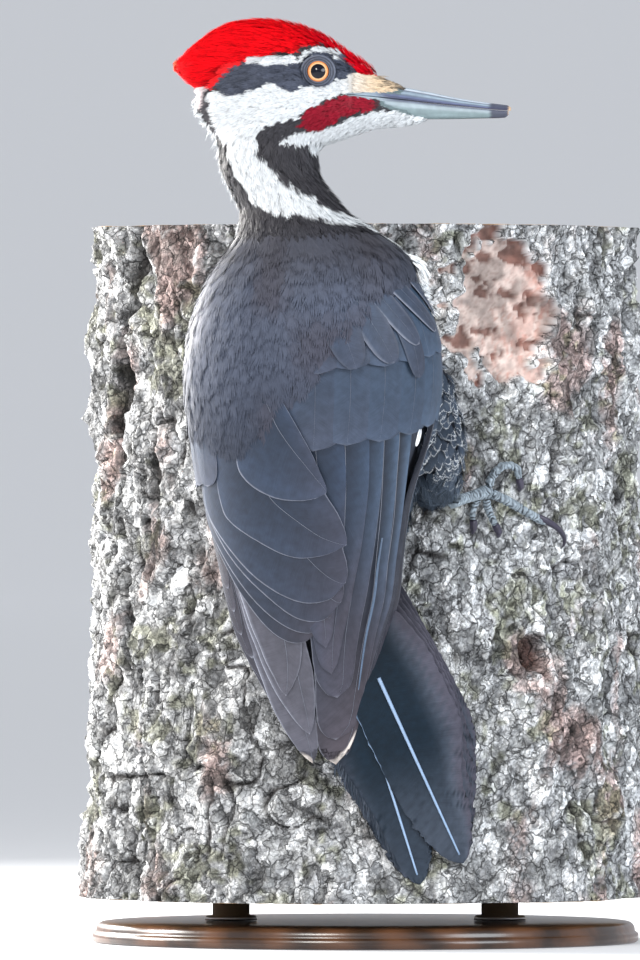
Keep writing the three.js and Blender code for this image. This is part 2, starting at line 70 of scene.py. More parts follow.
# The body and the folded wings, bottom to top: height, centre x and y, half width, half depth.
BODY = [
    (160, -7, -164, 13, 6),
    (184, -10, -170, 28, 21),
    (202, -14, -175, 37, 31),
    (225, -19, -182, 46, 41),
    (250, -23, -188, 54, 47.5),
    (275, -24.5, -194, 59, 50),
    (298, -25, -198, 56.5, 47.5),
    (317, -25.5, -201, 49, 42.5),
    (331, -26, -203, 40.5, 37),
    (344, -29.5, -205, 30.5, 29.5),
    (354, -38, -206, 25.5, 25),
    (363, -44, -207, 24.4, 23),
    (374, -46, -208, 23.2, 22),
    (386, -48.5, -208, 24, 21.5),
    (397, -50, -208, 20, 19),
]
WING_FORM = [
    (84, -18.5, -157, 7.5, 5),
    (100, -21, -159, 16.2, 8),
    (120, -23.6, -162, 26.3, 13),
    (148, -26.7, -167, 38, 22),
    (167, -26.4, -169.5, 43.5, 28),
    (186, -27, -172, 46.6, 35),
    (214, -28, -178, 52, 43),
    (247, -25.5, -187.5, 59.6, 49.5),
    (275, -24.6, -194, 62.3, 51.5),
    (298, -25, -198, 58.6, 48.5),
    (317, -25.6, -201, 50.5, 43.5),
    (331, -25.5, -203, 41.5, 38),
]
TAIL = {
    "per_side": 5, "width": 17, "narrower": 1.7, "layer": 1.6, "root_z": 184, "root_y": -175, "rest": 1.4,
    "right": {"x": -19, "step": 4.5, "angle": 24.5, "turn": 1.2, "length": 157, "shorter": 13},
    "left": {
        "x": -16.5, "step": -4, "angle": 16, "turn": -1.8, "length": 160, "shorter": 20, "lead": (-5.5, 1.3),
    },
}
CAMERA_DISTANCE = 7000
VIEW_HEIGHT = 451.2  # height of the camera's view at the bird
VIEW_CENTRE = (-22, -205, 223.25)

# ---------------------------------------------------------------- colours
def srgb(*levels):
    """An 8-bit sRGB colour as linear light."""
    c = np.array(levels, dtype=float) / 255
    return np.where(c <= 0.04045, c / 12.92, ((c + 0.055) / 1.055) ** 2.4)


SLATE = srgb(73, 80, 97)
SLATE_LOW = srgb(49, 55, 69)
SLATE_WARM = srgb(64, 63, 74)
FLANK_DARK = srgb(64, 76, 92)
FLANK_SOFT = srgb(72, 84, 98)
WING_COVERT = srgb(63, 75, 95)
FLIGHT = srgb(43, 47, 59)
FLIGHT_TOP = srgb(52, 66, 88)
# painted bluish highlights on the right wing's flight feathers and coverts
FLIGHT_SHEEN = srgb(86, 108, 134)
COVERT_SHEEN = srgb(72, 93, 117)
FLIGHT_PALE = srgb(224, 214, 206)
# a painted highlight line down the right wing
HIGHLIGHT_BLUE = srgb(96, 118, 144)
WARM_GREY = srgb(76, 68, 74)
RIM_SHADE = srgb(34, 36, 44)
TIP_GREY = srgb(92, 92, 103)
# painted highlight along the edges of the vanes
EDGE_HIGHLIGHT = srgb(164, 168, 182)
TAIL_MID = srgb(15, 32, 45)
TAIL_GREY = srgb(78, 86, 99)
TAIL_OUTER = srgb(82, 79, 91)
SHAFT_BLUE = srgb(146, 172, 204)
SHAFT_GREY = srgb(112, 118, 132)
RED = srgb(240, 8, 22)
RED_FRONT = srgb(242, 2, 32)
RED_GAP_SHADE = srgb(96, 2, 22)
RED_REAR = srgb(250, 40, 48)
CREST_RIM = srgb(255, 214, 150)
WHITE = srgb(224, 228, 231)
BUFF = srgb(230, 206, 174)
NAPE_PINK = srgb(220, 190, 190)
MALAR = srgb(146, 0, 34)
BLACK = srgb(58, 57, 62)
MASK = srgb(78, 84, 100)
BILL_UPPER = srgb(152, 170, 184)
BILL_LOWER = srgb(128, 147, 151)
BILL_BAND = BILL_UPPER * srgb(216, 214, 250)
BILL_PALE_AND_HIGHLIGHT = srgb(206, 216, 228)
BILL_EDGE = srgb(58, 58, 88)
BILL_TIP = srgb(62, 64, 84)
BILL_WORN = srgb(236, 200, 160)
TOE = srgb(154, 167, 177)
TOE_GROOVE = srgb(22, 28, 38)
CLAW = srgb(62, 58, 74)
AMBER = srgb(226, 142, 84)
AMBER_INNER = srgb(255, 206, 150)
PUPIL = srgb(10, 14, 26)
LID_PALE = srgb(86, 92, 108)
LID_DARK = srgb(36, 36, 42)
BARK_PALE = srgb(252, 254, 255)
BARK_GREY = srgb(192, 194, 197)
BARK_HIGHLIGHT = srgb(240, 243, 245)
BARK_LICHEN = srgb(140, 142, 104)
BARK_PINK = srgb(190, 146, 134)
BARK_CREAM = srgb(206, 188, 180)
BARK_RED = srgb(110, 62, 48)
BARK_DARK = srgb(44, 38, 36)
WOOD_CUT = srgb(196, 158, 112)
WALNUT_LIGHT = srgb(92, 60, 40)
WALNUT_DARK = srgb(44, 27, 18)

# ---------------------------------------------------------------- small helpers
def clamp01(t):
    return np.clip(t, 0.0, 1.0)


def smooth(t, low, high):
    """0 below low, 1 above high, with an even start and end between them."""
    s = clamp01((np.asarray(t, dtype=float) - low) / (high - low))
    return s * s * (3 - 2 * s)


def mix(a, b, t):
    return a + (b - a) * t


def unit(v):
    return v / np.maximum(np.linalg.norm(v, axis=-1, keepdims=True), 1e-9)


def read_table(table, at):
    """The rows of a table whose first column rises, along a smooth curve through them."""
    rows = np.array(table, dtype=float)
    x = rows[:, 0]
    at = np.clip(np.asarray(at, dtype=float), x[0], x[-1])
    i = np.clip(np.searchsorted(x, at, side="right") - 1, 0, len(x) - 2)
    low, high = np.maximum(i - 1, 0), np.minimum(i + 2, len(x) - 1)
    span = (x[i + 1] - x[i])[..., None]
    t = (at - x[i])[..., None] / span
    m0 = (rows[i + 1] - rows[low]) / (x[i + 1] - x[low])[..., None] * span
    m1 = (rows[high] - rows[i]) / (x[high] - x[i])[..., None] * span
    t2, t3 = t * t, t * t * t
    out = (2 * t3 - 3 * t2 + 1) * rows[i] + (t3 - 2 * t2 + t) * m0
    out = out + (3 * t2 - 2 * t3) * rows[i + 1] + (t3 - t2) * m1
    return np.moveaxis(out[..., 1:], -1, 0)


def round_form(form, degrees, z, depth, squeeze=1.0):
    """A point at a height and an angle round a form: 0 is the middle of the back, + is to the right.

    Depth is below the form's surface; squeeze is how much of it also narrows the outline from behind.
    """
    x, y, width, reach = read_table(form, z)
    a = np.radians(degrees)
    z = np.broadcast_to(z, x.shape)
    return np.stack([x + (width - depth * squeeze) * np.sin(a), y - (reach - depth) * np.cos(a), z], axis=-1)


def wing_squeeze(z):
    """The deeper feathers keep nearly the wing's own outline towards its tip."""
    return mix(0.12, 0.5, smooth(z, 110, 230))


def inside(points, outline):
    """Which 2-D points lie in a closed outline."""
    px, py = points[:, 0], points[:, 1]
    hit = np.zeros(len(points), dtype=bool)
    previous = outline[-1]
    for x, y in outline:
        x0, y0 = previous
        crosses = (y > py) != (y0 > py)
        if y != y0:
            hit ^= crosses & (px < (x0 - x) * (py - y) / (y0 - y) + x)
        previous = (x, y)
    return hit


def distance_to_line(points, line):
    """Distance of 2-D points from an open line of straight stretches."""
    best = np.full(len(points), 1e9)
    for (x0, y0), (x1, y1) in zip(line, line[1:]):
        d = np.array([x1 - x0, y1 - y0])
        rel = points - np.array([x0, y0])
        t = clamp01(rel @ d / (d @ d))
        best = np.minimum(best, np.linalg.norm(rel - t[:, None] * d, axis=1))
    return best


def value_noise(points, seed):
    """Smooth noise from -1 to 1 with a grain of about one unit."""
    table = np.random.default_rng(seed).uniform(-1, 1, 4096)
    cell = np.floor(points).astype(np.int64)
    f = points - cell
    f = f * f * (3 - 2 * f)
    out = np.zeros(len(points))
    for corner in range(8):
        step = np.array([corner & 1, corner >> 1 & 1, corner >> 2 & 1])
        key = (cell + step) @ np.array([73856093, 19349663, 83492791])
        weight = np.prod(np.where(step == 1, f, 1 - f), axis=1)
        out += weight * table[key % 4096]
    return out


# ---------------------------------------------------------------- meshes
def build_mesh(name, points, faces, tint=None, maps=None, material=None, slots=None):
    """A mesh object from points in millimetres and arrays of triangles or quads."""
    groups = faces if isinstance(faces, list) else [faces]
    groups = [np.asarray(g, dtype=np.int32) for g in groups if len(g)]
    loops = np.concatenate([g.ravel() for g in groups])
    sizes = np.concatenate([np.full(len(g), g.shape[1]) for g in groups])
    starts = np.concatenate([[0], np.cumsum(sizes)[:-1]]).astype(np.int32)
    mesh = bpy.data.meshes.new(name)
    mesh.vertices.add(len(points))
    mesh.vertices.foreach_set("co", (np.asarray(points, dtype=float) * MM).ravel().astype(np.float32))
    mesh.loops.add(len(loops))
    mesh.loops.foreach_set("vertex_index", loops)
    mesh.polygons.add(len(sizes))
    mesh.polygons.foreach_set("loop_start", starts)
    if slots is not None:
        mesh.polygons.foreach_set("material_index", np.asarray(slots, dtype=np.int32))
    mesh.update(calc_edges=True)
    mesh.polygons.foreach_set("use_smooth", np.full(len(sizes), True))
    if tint is not None:
        paint(mesh, tint)
    for label, uv in (maps or {}).items():
        layer = mesh.uv_layers.new(name=label)
        layer.data.foreach_set("uv", uv[loops].astype(np.float32).ravel())
    piece = bpy.data.objects.new(name, mesh)
    bpy.context.scene.collection.objects.link(piece)
    for one in material if isinstance(material, (list, tuple)) else [material]:
        mesh.materials.append(one)
    return piece


def paint(mesh, tint):
    """Stores a linear colour at each point, which the materials read as Tint."""
    colours = np.ones((len(tint), 4))
    colours[:, :3] = np.clip(tint, 0, 1)
    if "Tint" in mesh.color_attributes:
        mesh.color_attributes.remove(mesh.color_attributes["Tint"])
    layer = mesh.color_attributes.new("Tint", "FLOAT_COLOR", "POINT")
    layer.data.foreach_set("color", colours.ravel().astype(np.float32))


def points_of(mesh):
    flat = np.empty(len(mesh.vertices) * 3, dtype=np.float32)
    mesh.vertices.foreach_get("co", flat)
    return flat.reshape(-1, 3).astype(float) / MM


def normals_of(mesh):
    flat = np.empty(len(mesh.vertices) * 3, dtype=np.float32)
    mesh.vertex_normals.foreach_get("vector", flat)
    return flat.reshape(-1, 3).astype(float)


def move_points(mesh, points):
    mesh.vertices.foreach_set("co", (points * MM).ravel().astype(np.float32))
    mesh.update()


def own(piece, nodes=()):
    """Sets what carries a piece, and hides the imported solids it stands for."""
    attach(piece, "root")
    if nodes:
        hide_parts(*nodes)
    return piece


def grid_quads(rows, columns, base=0, flip=False, wrap=False):
    """The quads of a grid of points, row by row."""
    i, j = np.meshgrid(np.arange(rows - 1), np.arange(columns if wrap else columns - 1), indexing="ij")
    a = i * columns + j
    b = i * columns + (j + 1) % columns
    quads = np.stack([a, b, b + columns, a + columns], axis=-1).reshape(-1, 4) + base
    return quads[:, ::-1] if flip else quads


def grid_rim(rows, columns):
    """The points round the outside of a grid, in order."""
    return np.concatenate([
        np.arange(columns),
        np.arange(1, rows) * columns + columns - 1,
        (rows - 1) * columns + np.arange(columns - 2, -1, -1),
        np.arange(rows - 2, 0, -1) * columns,
    ])


def close_rings(rings, rows, ends=None):
    """Points and faces of a closed shell: rows of rings, and a point in the middle of each end."""
    around = len(rings) // rows
    if ends is None:
        ends = [rings[:around].mean(axis=0), rings[-around:].mean(axis=0)]
    j = np.arange(around)
    following = (j + 1) % around
    low = len(rings)
    last = low - around
    tris = np.concatenate([
        np.stack([following, j, np.full(around, low)], axis=1),
        np.stack([last + j, last + following, np.full(around, low + 1)], axis=1),
    ])
    return np.concatenate([rings, ends]), [grid_quads(rows, around, wrap=True), tris]


WELDED = 0.02  # corners of the solids nearer than this are one


def remeshed(name, nodes, voxel, passes, shells=()):
    """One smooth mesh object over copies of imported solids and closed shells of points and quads."""
    points, faces, base = [], [], 0
    for node in nodes:
        mesh = NODES[node].data
        mesh.calc_loop_triangles()
        tris = np.array([t.vertices[:] for t in mesh.loop_triangles])
        points.append(points_of(mesh))
        faces.append(tris + base)
        base += len(mesh.vertices)
    groups = [np.concatenate(faces)]
    for shell_points, shell_faces in shells:
        points.append(shell_points)
        groups += [f + base for f in shell_faces]
        base += len(shell_points)
    piece = build_mesh(name, np.concatenate(points), groups)
    piece.data.materials.clear()
    bpy.context.view_layer.objects.active = piece
    weld = piece.modifiers.new("weld", "WELD")
    weld.merge_threshold = WELDED * MM
    remesh = piece.modifiers.new("voxels", "REMESH")
    remesh.mode = "VOXEL"
    remesh.voxel_size = voxel * MM
    soften = piece.modifiers.new("soften", "SMOOTH")
    soften.factor = 0.5
    soften.iterations = passes
    bake_modifiers(piece)
    return piece


def bake_modifiers(piece):
    """Keeps the mesh that a piece's modifiers make, and clears them."""
    graph = bpy.context.evaluated_depsgraph_get()
    made = bpy.data.meshes.new_from_object(piece.evaluated_get(graph))
    piece.modifiers.clear()
    old = piece.data
    piece.data = made
    made.name = piece.name
    bpy.data.meshes.remove(old)
    made.polygons.foreach_set("use_smooth", np.full(len(made.polygons), True))


# ---------------------------------------------------------------- materials
def plug(tree, node, inputs):
    """Fills a node's sockets, each from another node's output or with a plain value."""
    for socket, value in inputs.items():
        if isinstance(value, bpy.types.NodeSocket):
            tree.links.new(value, node.inputs[socket])
        else:
            node.inputs[socket].default_value = value


def add(tree, kind, inputs, **settings):
    """A new shader node with its settings made and its sockets filled."""
    node = tree.nodes.new(f"ShaderNode{kind}")
    for setting, value in settings.items():
        setattr(node, setting, value)
    plug(tree, node, inputs)
    return node


def new_material(name, **sockets):
    """A material, its node tree and its shader, whose own sockets take what is the same all over."""
    material = bpy.data.materials.new(name)
    material.use_nodes = True
    tree = material.node_tree
    shader = tree.nodes["Principled BSDF"]
    plug(tree, shader, {label.replace("_", " "): value for label, value in sockets.items()})
    return material, tree, shader


def object_place(tree):
    return add(tree, "TexCoord", {}).outputs["Object"]


def noise_of(tree, vector, scale, detail):
    return add(tree, "TexNoise", {"Scale": scale, "Detail": detail, "Vector": vector})


def stretched(tree, vector, scale):
    return add(tree, "Mapping", {"Scale": scale, "Vector": vector}).outputs["Vector"]


def ramp(tree, factor, *stops):
    """A colour between two stops, each given by its place from 0 to 1 and its colour."""
    node = add(tree, "ValToRGB", {"Fac": factor})
    for k, (place, colour) in enumerate(stops):
        node.color_ramp.elements[k].position = place
        node.color_ramp.elements[k].color = (*colour, 1)
    return node.outputs["Color"]


def shade_by(tree, colour, factor, amount=1):
    """Multiplies a colour by a factor, as far as amount says."""
    sockets = {"Factor": amount, 6: colour, 7: factor}
    return add(tree, "Mix", sockets, data_type="RGBA", blend_type="MULTIPLY").outputs[2]


def raise_by(tree, shader, height, strength, distance):
    """Bumps a shader's surface by a height; a height of 1 stands out by the distance, in metres."""
    rise = add(tree, "Bump", {"Strength": strength, "Distance": distance, "Height": height})
    plug(tree, shader, {"Normal": rise.outputs["Normal"]})


def colour_source(shader):
    """The output that colours a shader so far."""
    return shader.inputs["Base Color"].links[0].from_socket


def tinted_material(name, roughness, grain=400, contrast=0.25, bump=0.15, bump_scale=900, **sockets):
    """A material that takes its colour from the Tint at each point, mottled by fine noise."""
    material, tree, shader = new_material(name, Roughness=roughness, **sockets)
    place = object_place(tree)
    tint = add(tree, "Attribute", {}, attribute_name="Tint").outputs["Color"]
    noise = noise_of(tree, place, grain, 4).outputs["Fac"]
    mottle = ramp(tree, noise, (0.3, (1 - contrast,) * 3), (0.7, (1 + contrast,) * 3))
    plug(tree, shader, {"Base Color": shade_by(tree, tint, mottle)})
    if bump:
        raise_by(tree, shader, noise_of(tree, place, bump_scale, 3).outputs["Fac"], bump, 0.0004)
    return material


def vane_material(name, roughness, specular, barbs):
    """Feather vanes: fine slanting barbs run out from the shaft, along the Barbs map."""
    material = tinted_material(name, roughness, grain=260, contrast=0.16, bump=0, Specular_IOR_Level=specular)
    tree = material.node_tree
    shader = tree.nodes["Principled BSDF"]
    place = add(tree, "UVMap", {}, uv_map="Barbs").outputs["UV"]
    streak = noise_of(tree, stretched(tree, place, (0.12, barbs, 1)), 1.0, 3).outputs["Fac"]
    raise_by(tree, shader, streak, 0.22, 0.0005)
    shade = ramp(tree, streak, (0.32, (0.88, 0.89, 0.91)), (0.7, (1.08, 1.08, 1.08)))
    plug(tree, shader, {"Base Color": shade_by(tree, colour_source(shader), shade)})
    return material


COAT_LOOK = tinted_material("coat", 0.6, contrast=0.1, bump=0, Specular_IOR_Level=0.25)
CREST_LOOK = tinted_material("crest", 0.7, contrast=0.1, bump=0, Specular_IOR_Level=0.06)
SKIN_LOOK = tinted_material("skin", 0.8, contrast=0.2, bump=0.4)
VANE_LOOK = vane_material("vanes", 0.52, 0.3, barbs=2.2)
TAIL_LOOK = vane_material("tail_vanes", 0.46, 0.16, barbs=2.0)
SHAFT_LOOK = tinted_material("shafts", 0.3, contrast=0.08, bump=0, Coat_Weight=0.3, Coat_Roughness=0.2)
BILL_LOOK = tinted_material("bill_horn", 0.34, grain=300, contrast=0.1, bump=0.25, bump_scale=700)
LEG_LOOK = tinted_material("leg_scales", 0.5, grain=700, contrast=0.2, bump=0.35, bump_scale=1500)
CLAW_LOOK = tinted_material("claws", 0.28, grain=500, contrast=0.12, bump=0.1)
EYE_LOOK = tinted_material("eyes", 0.08, contrast=0.0, bump=0, Specular_IOR_Level=0.32)
LID_LOOK = tinted_material("lids", 0.5, grain=900, contrast=0.2, bump=0.5, bump_scale=2200)


# ---------------------------------------------------------------- markings
CREST_EDGE = [
    (26.7, -1.8), (20.4, -1.2), (15.4, -0.4), (12.0, 3.6), (7.6, 9.0), (2.4, 12.0), (-2.4, 12.2),
    (-9, 11.3), (-12, 8.2), (-16.8, 7.7), (-26.4, 7.7), (-33, 6.1), (-37.2, 3.7), (-42, 0.7),
    (-46.2, -2.9), (-48.6, -7.1), (-51.6, -7.7), (-56.4, -6.5), (-61.7, -2.9), (-68.3, 0.7),
]
CREST_AREA = CREST_EDGE + [(-80, 4), (-80, 40), (34, 40), (34, -1)]
MASK_AREA = [
    (-46.2, -2.9), (-42, 0.7), (-37.2, 3.7), (-33, 4), (-24, 2.5), (-11, 4.3), (-8, 6.5), (-3, 10.5),
    (3, 10.5), (8, 8.5), (13, 4), (16.2, 0.1), (14.4, -1.3), (9.6, -3.8), (4.8, -6.1), (-2.4, -7.1),
    (-9, -7.4), (-12, -9.6), (-18, -8.3), (-23.4, -5.3), (-27.6, -8.3), (-36, -10.7), (-42, -11.9),
    (-48.6, -8.9),
]
BROW_AREA = [(-34, 6), (-26, 7.6), (-17, 7.4), (-11, 7), (-9, 5), (-11, 3.9), (-24, 2.3), (-34, 3.6)]
SHOULDER_LINE = [(18, -71.2), (26, -73.2), (33, -76.6), (39, -81.5), (43, -86)]
BROW_LINE = [(-11, 5), (-9, 5.9), (-5.4, 8.9), (-2.4, 10.1), (2.4, 10.1), (7.2, 8.2), (8, 6.1)]
CHEEK_AREA = [
    (42, -9.4), (27.6, -9.6), (16.8, -11), (13.2, -10.7), (7.2, -11.9), (2.4, -13.7), (-2.4, -16.1),
    (-7.2, -18.5), (-10.8, -22.1), (-14.4, -22.7), (-20.4, -24.5), (-25.2, -26.3), (-28.2, -30.5),
    (-29, -36.4), (-27.6, -40), (-22.8, -44.8), (-18, -52), (-12, -56.2), (-3.6, -60.4), (2.4, -65.2),
    (9.6, -67.6), (14.4, -69), (21.6, -70.6), (27.6, -73), (32.4, -76.6), (31.8, -78), (21.6, -74.5),
    (12, -73.4), (2.4, -71.8), (-4.8, -69), (-10.8, -67.6), (-18, -69.8), (-24, -65.2), (-30, -60.4),
    (-33.4, -54.4), (-37.6, -48.4), (-39.8, -42.4), (-43.4, -34.1), (-47, -28.1), (-49.4, -22.1),
    (-51, -16.1), (-51, -10.1), (-48, -8.9), (-42, -11.9), (-36, -10.7), (-27.6, -8.3),
    (-23.4, -5.3), (-18, -8.3), (-12, -9.6), (-9, -7.4), (-2.4, -7.1), (4.8, -6.1), (9.6, -3.8),
    (14.4, -1.3), (16.2, 0.1), (26.7, -1.4), (42.6, -4),
]
MALAR_AREA = [
    (-10.8, -25), (-7.2, -19.9), (-2.4, -16.3), (3.6, -13.9), (9.6, -12), (16.8, -11.3), (22.8, -12.2),
    (29, -14.6), (27.5, -17), (21.6, -18.8), (14.4, -20.5), (8.4, -22.3), (3.6, -25.3), (0, -27.7),
    (-5.4, -27.5),
]
CHIN_AREA = [
    (-18, -34.6), (-16.2, -32), (-9, -28.7), (0, -27.8), (4.8, -25.7), (12, -22.7), (21.6, -19.7),
    (28.2, -17.9), (51.6, -20.3), (51.6, -24), (33.6, -31), (21.6, -34), (9.6, -36), (2.4, -39),
    (-7.2, -38.2), (-14.4, -36.7),
]
NAPE_AREA = [(-55, -3.5), (-53.2, -8), (-54.4, -15), (-56.4, -21), (-62, -22), (-66, -8)]
SHOULDER_AREA = [(32, -77), (42, -81), (53, -95), (57, -110), (53, -111), (47, -99), (39, -87), (30, -81)]
BILL_BASE = [  # the horn between the lores and the chin, bare of feathers
    (26, -11.2), (28, -10.4), (34, -9.6), (41, -8.8), (45, -6), (70, -6), (70, -24), (56, -22.6), (51, -21.4),
    (45, -20.2), (38, -18.9), (33, -17.6), (29, -15.2), (27.4, -13),
]
GAPE_CORNER = [(12.6, -10.2), (20, -10.6), (26, -11), (28, -10.4), (27.4, -12.4), (20, -12), (12.6, -11)]
NECK_TOP = 388  # above it the head's own midplane divides right from left
NECK_FOOT = 330  # below it the back's middle does
MANTLE_TOP = 338  # the coat of the back and belly ends here, and the neck's starts
HEAD_FOOT = 382  # the neck's coat ends here, and the head's starts
CREST_FOOT = 400  # the crest's red comes no lower


def marked_side(points):
    """The markings' own flat coordinates, forward and up from the eye, on either side of the bird."""
    x, y, z = points.T
    cx, cy, width, _reach = read_table(BODY, z)
    theta = np.arctan2(x - cx, -(y - cy))
    nape = np.radians(-90) * smooth(z, NECK_FOOT, NECK_TOP)
    mirrored = 2 * nape - theta
    far = (np.cos(theta) < 0) & (z < NECK_TOP)
    shown = np.cos(mirrored) > 0
    forward = np.where(far & shown, cx + width * np.sin(mirrored), x) - EYE["x"]
    blank = far & ~shown & (z < NECK_TOP - 22)
    return np.stack([forward, z - EYE["z"]], axis=1), blank


def cheek_tint(points, forward, up):
    """White, buff towards the nostrils, with dark bristles over the root of the bill."""
    cheek = mix(WHITE, BUFF, (smooth(forward, 7, 29) * smooth(up, -24, -16))[:, None])
    hairs = value_noise(points / np.array([5, 0.9, 0.9]), 12)
    bristle = smooth(forward + 2.5 * hairs, 34, 40)
    bristle = np.maximum(bristle, smooth(hairs, 0.05, 0.35) * smooth(forward, 24, 32) * smooth(up, -10, -4))
    return mix(cheek, BLACK, bristle[:, None] * 0.85)


def crest_tint(forward, up, streak):
    """Streaked red, with painted shade in the gaps of the forehead, and a pale rim at the rear."""
    crest = mix(RED, RED_FRONT, smooth(forward, -14, 8)[:, None])
    crest = mix(crest, RED_GAP_SHADE, (smooth(streak[:, 0], 0.1, 0.6) * smooth(forward, -16, 6) * 0.4)[:, None])
    crest = crest * (1 + 0.2 * streak * smooth(forward, -50, 0)[:, None])
    crest = mix(crest, RED_REAR, (smooth(-forward, 58, 67) * smooth(-up, -16, 3))[:, None])
    return mix(crest, CREST_RIM, (smooth(-forward, 64.6, 67.4))[:, None] * 0.85)


def marking(points):
    """Colour of the skin or coat at each point."""
    flat, blank = marked_side(points)
    x, _y, z = points.T
    wobble = value_noise(points / 3.0, 5)[:, None] * 0.8
    flat = flat + np.concatenate([wobble, -wobble], axis=1)
    forward, up = flat.T
    shade = value_noise(points / np.array([9, 9, 16]), 3)
    body = mix(SLATE, SLATE_LOW, smooth(-z, -300, -215)[:, None])
    warm = smooth(value_noise(points / np.array([15, 15, 26]), 8), -0.2, 0.6)
    warm = warm * (1 - smooth(np.abs(x + 22), 22, 48))
    body = mix(body, SLATE_WARM, warm[:, None] * 0.75)
    colour = mix(body, BLACK, smooth(z, 300, 346)[:, None]) * (1 + 0.07 * shade[:, None])

    def lay(where, tone):
        where = where & ~blank
        colour[where] = tone[where] if np.ndim(tone) == 2 else tone

    lay(inside(flat, CHEEK_AREA), cheek_tint(points, forward, up))
    lay(inside(flat, SHOULDER_AREA), WHITE)
    lay(inside(flat, NAPE_AREA), mix(WHITE, NAPE_PINK, 0.5))
    lay(inside(flat, CHIN_AREA), WHITE)
    streak = value_noise(points / np.array([7, 1.6, 1.4]), 9)[:, None]
    malar_end = smooth(forward + 1.5 * streak[:, 0], 24.5, 27.5) * 0.85
    lay(inside(flat, MALAR_AREA), mix(MALAR * (1 + 0.25 * streak), BLACK * 0.6, malar_end[:, None]))
    lay(inside(flat, CREST_AREA) & (z > CREST_FOOT), crest_tint(forward, up, streak))
    mask = mix(MASK, MASK * 0.8, smooth(-forward, -8, 30)[:, None]) * (1 + 0.35 * streak)
    lay(inside(flat, MASK_AREA), mask)
    lay(inside(flat, BILL_BASE), BILL_LOWER * 0.8)
    lay(inside(flat, GAPE_CORNER), BILL_UPPER)
    lay(inside(flat, BROW_AREA), WHITE)
    lay(distance_to_line(flat, BROW_LINE) < 0.9, WHITE)
    lay(distance_to_line(flat, SHOULDER_LINE) < 1.5, WHITE)
    return colour


# ---------------------------------------------------------------- skin
FLESH = ["torso", "neck", "head", "crest", "thigh_right", "thigh_left"]
# Lower edge of the loose mantle, seen from behind: x, height.
MANTLE_EDGE = [
    (-90, 240), (-70, 233), (-57, 231), (-50, 236), (-44, 243), (-40, 257), (-27, 268), (-19, 279), (-6, 286),
    (3, 296), (8, 306), (16, 314), (26, 320), (40, 326),
]
BED_SINK = 3.6  # how much deeper the skin lies under the vanes of the wings than under the mantle


def below_mantle(points):
    """0 under the mantle, 1 under the bare vanes of the folded wings."""
    x, _y, z = points.T
    edge = np.interp(x, *np.array(MANTLE_EDGE).T)
    return smooth(edge - z, -5, 7)


def wing_bed():
    """A closed shell under the folded wings: flat ovals, one above the other."""
    around, rows = 64, 72
    turn = np.arange(around) / around * 360
    heights = np.linspace(150, WING_FORM[-1][0], rows)
    aa, zz = np.meshgrid(turn, heights)
    outer = round_form(WING_FORM, aa, zz, 0.0).reshape(-1, 3)
    sink = (BED_SINK * below_mantle(outer)).reshape(aa.shape)
    rings = round_form(WING_FORM, aa, zz, sink).reshape(-1, 3)
    return close_rings(rings, rows)


def coat_depth(points):
    """How far the skin lies under the tips of the coat."""
    x, _y, z = points.T
    depth = mix(4.2, 2.6, smooth(z, 335, 372))
    depth = mix(depth, 1.5, smooth(z, 384, 398) * smooth(x, -62, -45))
    shoulder = smooth(z, 306, 322) * (1 - smooth(z, 344, 356)) * smooth(x, -10, 4)
    depth = depth - 2.6 * shoulder
    crest = smooth(z, 414, 424)
    depth = mix(depth, 2.6, crest)
    bill = smooth(x, 5, 16)
    return mix(depth, 0.9, bill * smooth(z, 385, 395))


def swelling(centre, size, lean):
    """A closed oval shell: half sizes along X, Y and Z, leaned forwards by an angle in the XZ plane."""
    rows, around = 14, 28
    polar = np.linspace(0, math.pi, rows + 2)[1:-1, None]
    turn = np.linspace(0, 2 * math.pi, around, endpoint=False)[None]
    x = np.cos(polar) * size[0] * np.ones_like(turn)
    y, z = np.sin(polar) * np.sin(turn) * size[1], np.sin(polar) * np.cos(turn) * size[2]
    a = math.radians(lean)
    rings = np.stack([x * math.cos(a) + z * math.sin(a), y, z * math.cos(a) - x * math.sin(a)], axis=-1)
    rings = rings.reshape(-1, 3) + np.array(centre)
    return close_rings(rings, rows)


# Forms under the coat that the solids only outline, as centre, half sizes and lean: the forehead's slope,
# the chin, and the flanks before the thighs.
SWELLINGS = [
    ((-7.2, HEAD_Y, 415.4), (14, 8, 8), 43),
    ((16, HEAD_Y, 391.2), (16, 5.2, 3.7), -10),
    ((27, -172, 262), (18, 15, 22), 0),
    ((-60, -172, 262), (17, 15, 21), 0),
    ((30, -152, 226), (13, 12, 18), 0),
    ((-58, -152, 226), (13, 12, 18), 0),
]


def bare_bill_base(points):
    """Draws the skin in where the bill comes out of the head, so that the horn lies outside it."""
    forward, up = points[:, 0] - EYE["x"], points[:, 2] - EYE["z"]
    _culmen, _gape, _keel, width = read_table(BILL_FORM, forward)
    upper = np.interp(forward, [26, 28, 41, 46], [-11.4, -10.4, -8.8, -5])
    lower = np.interp(forward, [26, 28, 33, 38, 45, 51], [-12.6, -14.4, -17.4, -18.8, -20, -21.2])
    band = smooth(upper - up, -0.8, 0.4) * smooth(up - lower, -0.8, 0.4) * smooth(forward, 24, 28)
    off = points[:, 1] - HEAD_Y
    most = np.maximum(width - 2.0, 0.5)
    held = np.clip(off, -most, most)
    points = points.copy()
    points[:, 1] = HEAD_Y + mix(off, held, band)
    return points


def make_skin():
    """One closed skin under the whole coat, marked like it but darker."""
    shells = [wing_bed(), *(swelling(*form) for form in SWELLINGS)]
    piece = remeshed("skin", FLESH, 1.5, 12, shells)
    mesh = piece.data
    points = points_of(mesh)
    points = points - normals_of(mesh) * coat_depth(points)[:, None]
    for side in (-1, 1):
        points = set_eye_socket(points, side)
    points = bare_bill_base(points)
    move_points(mesh, points)
    paint(mesh, marking(points_of(mesh)) * 0.72)
    mesh.materials.append(SKIN_LOOK)
    return own(piece, FLESH)


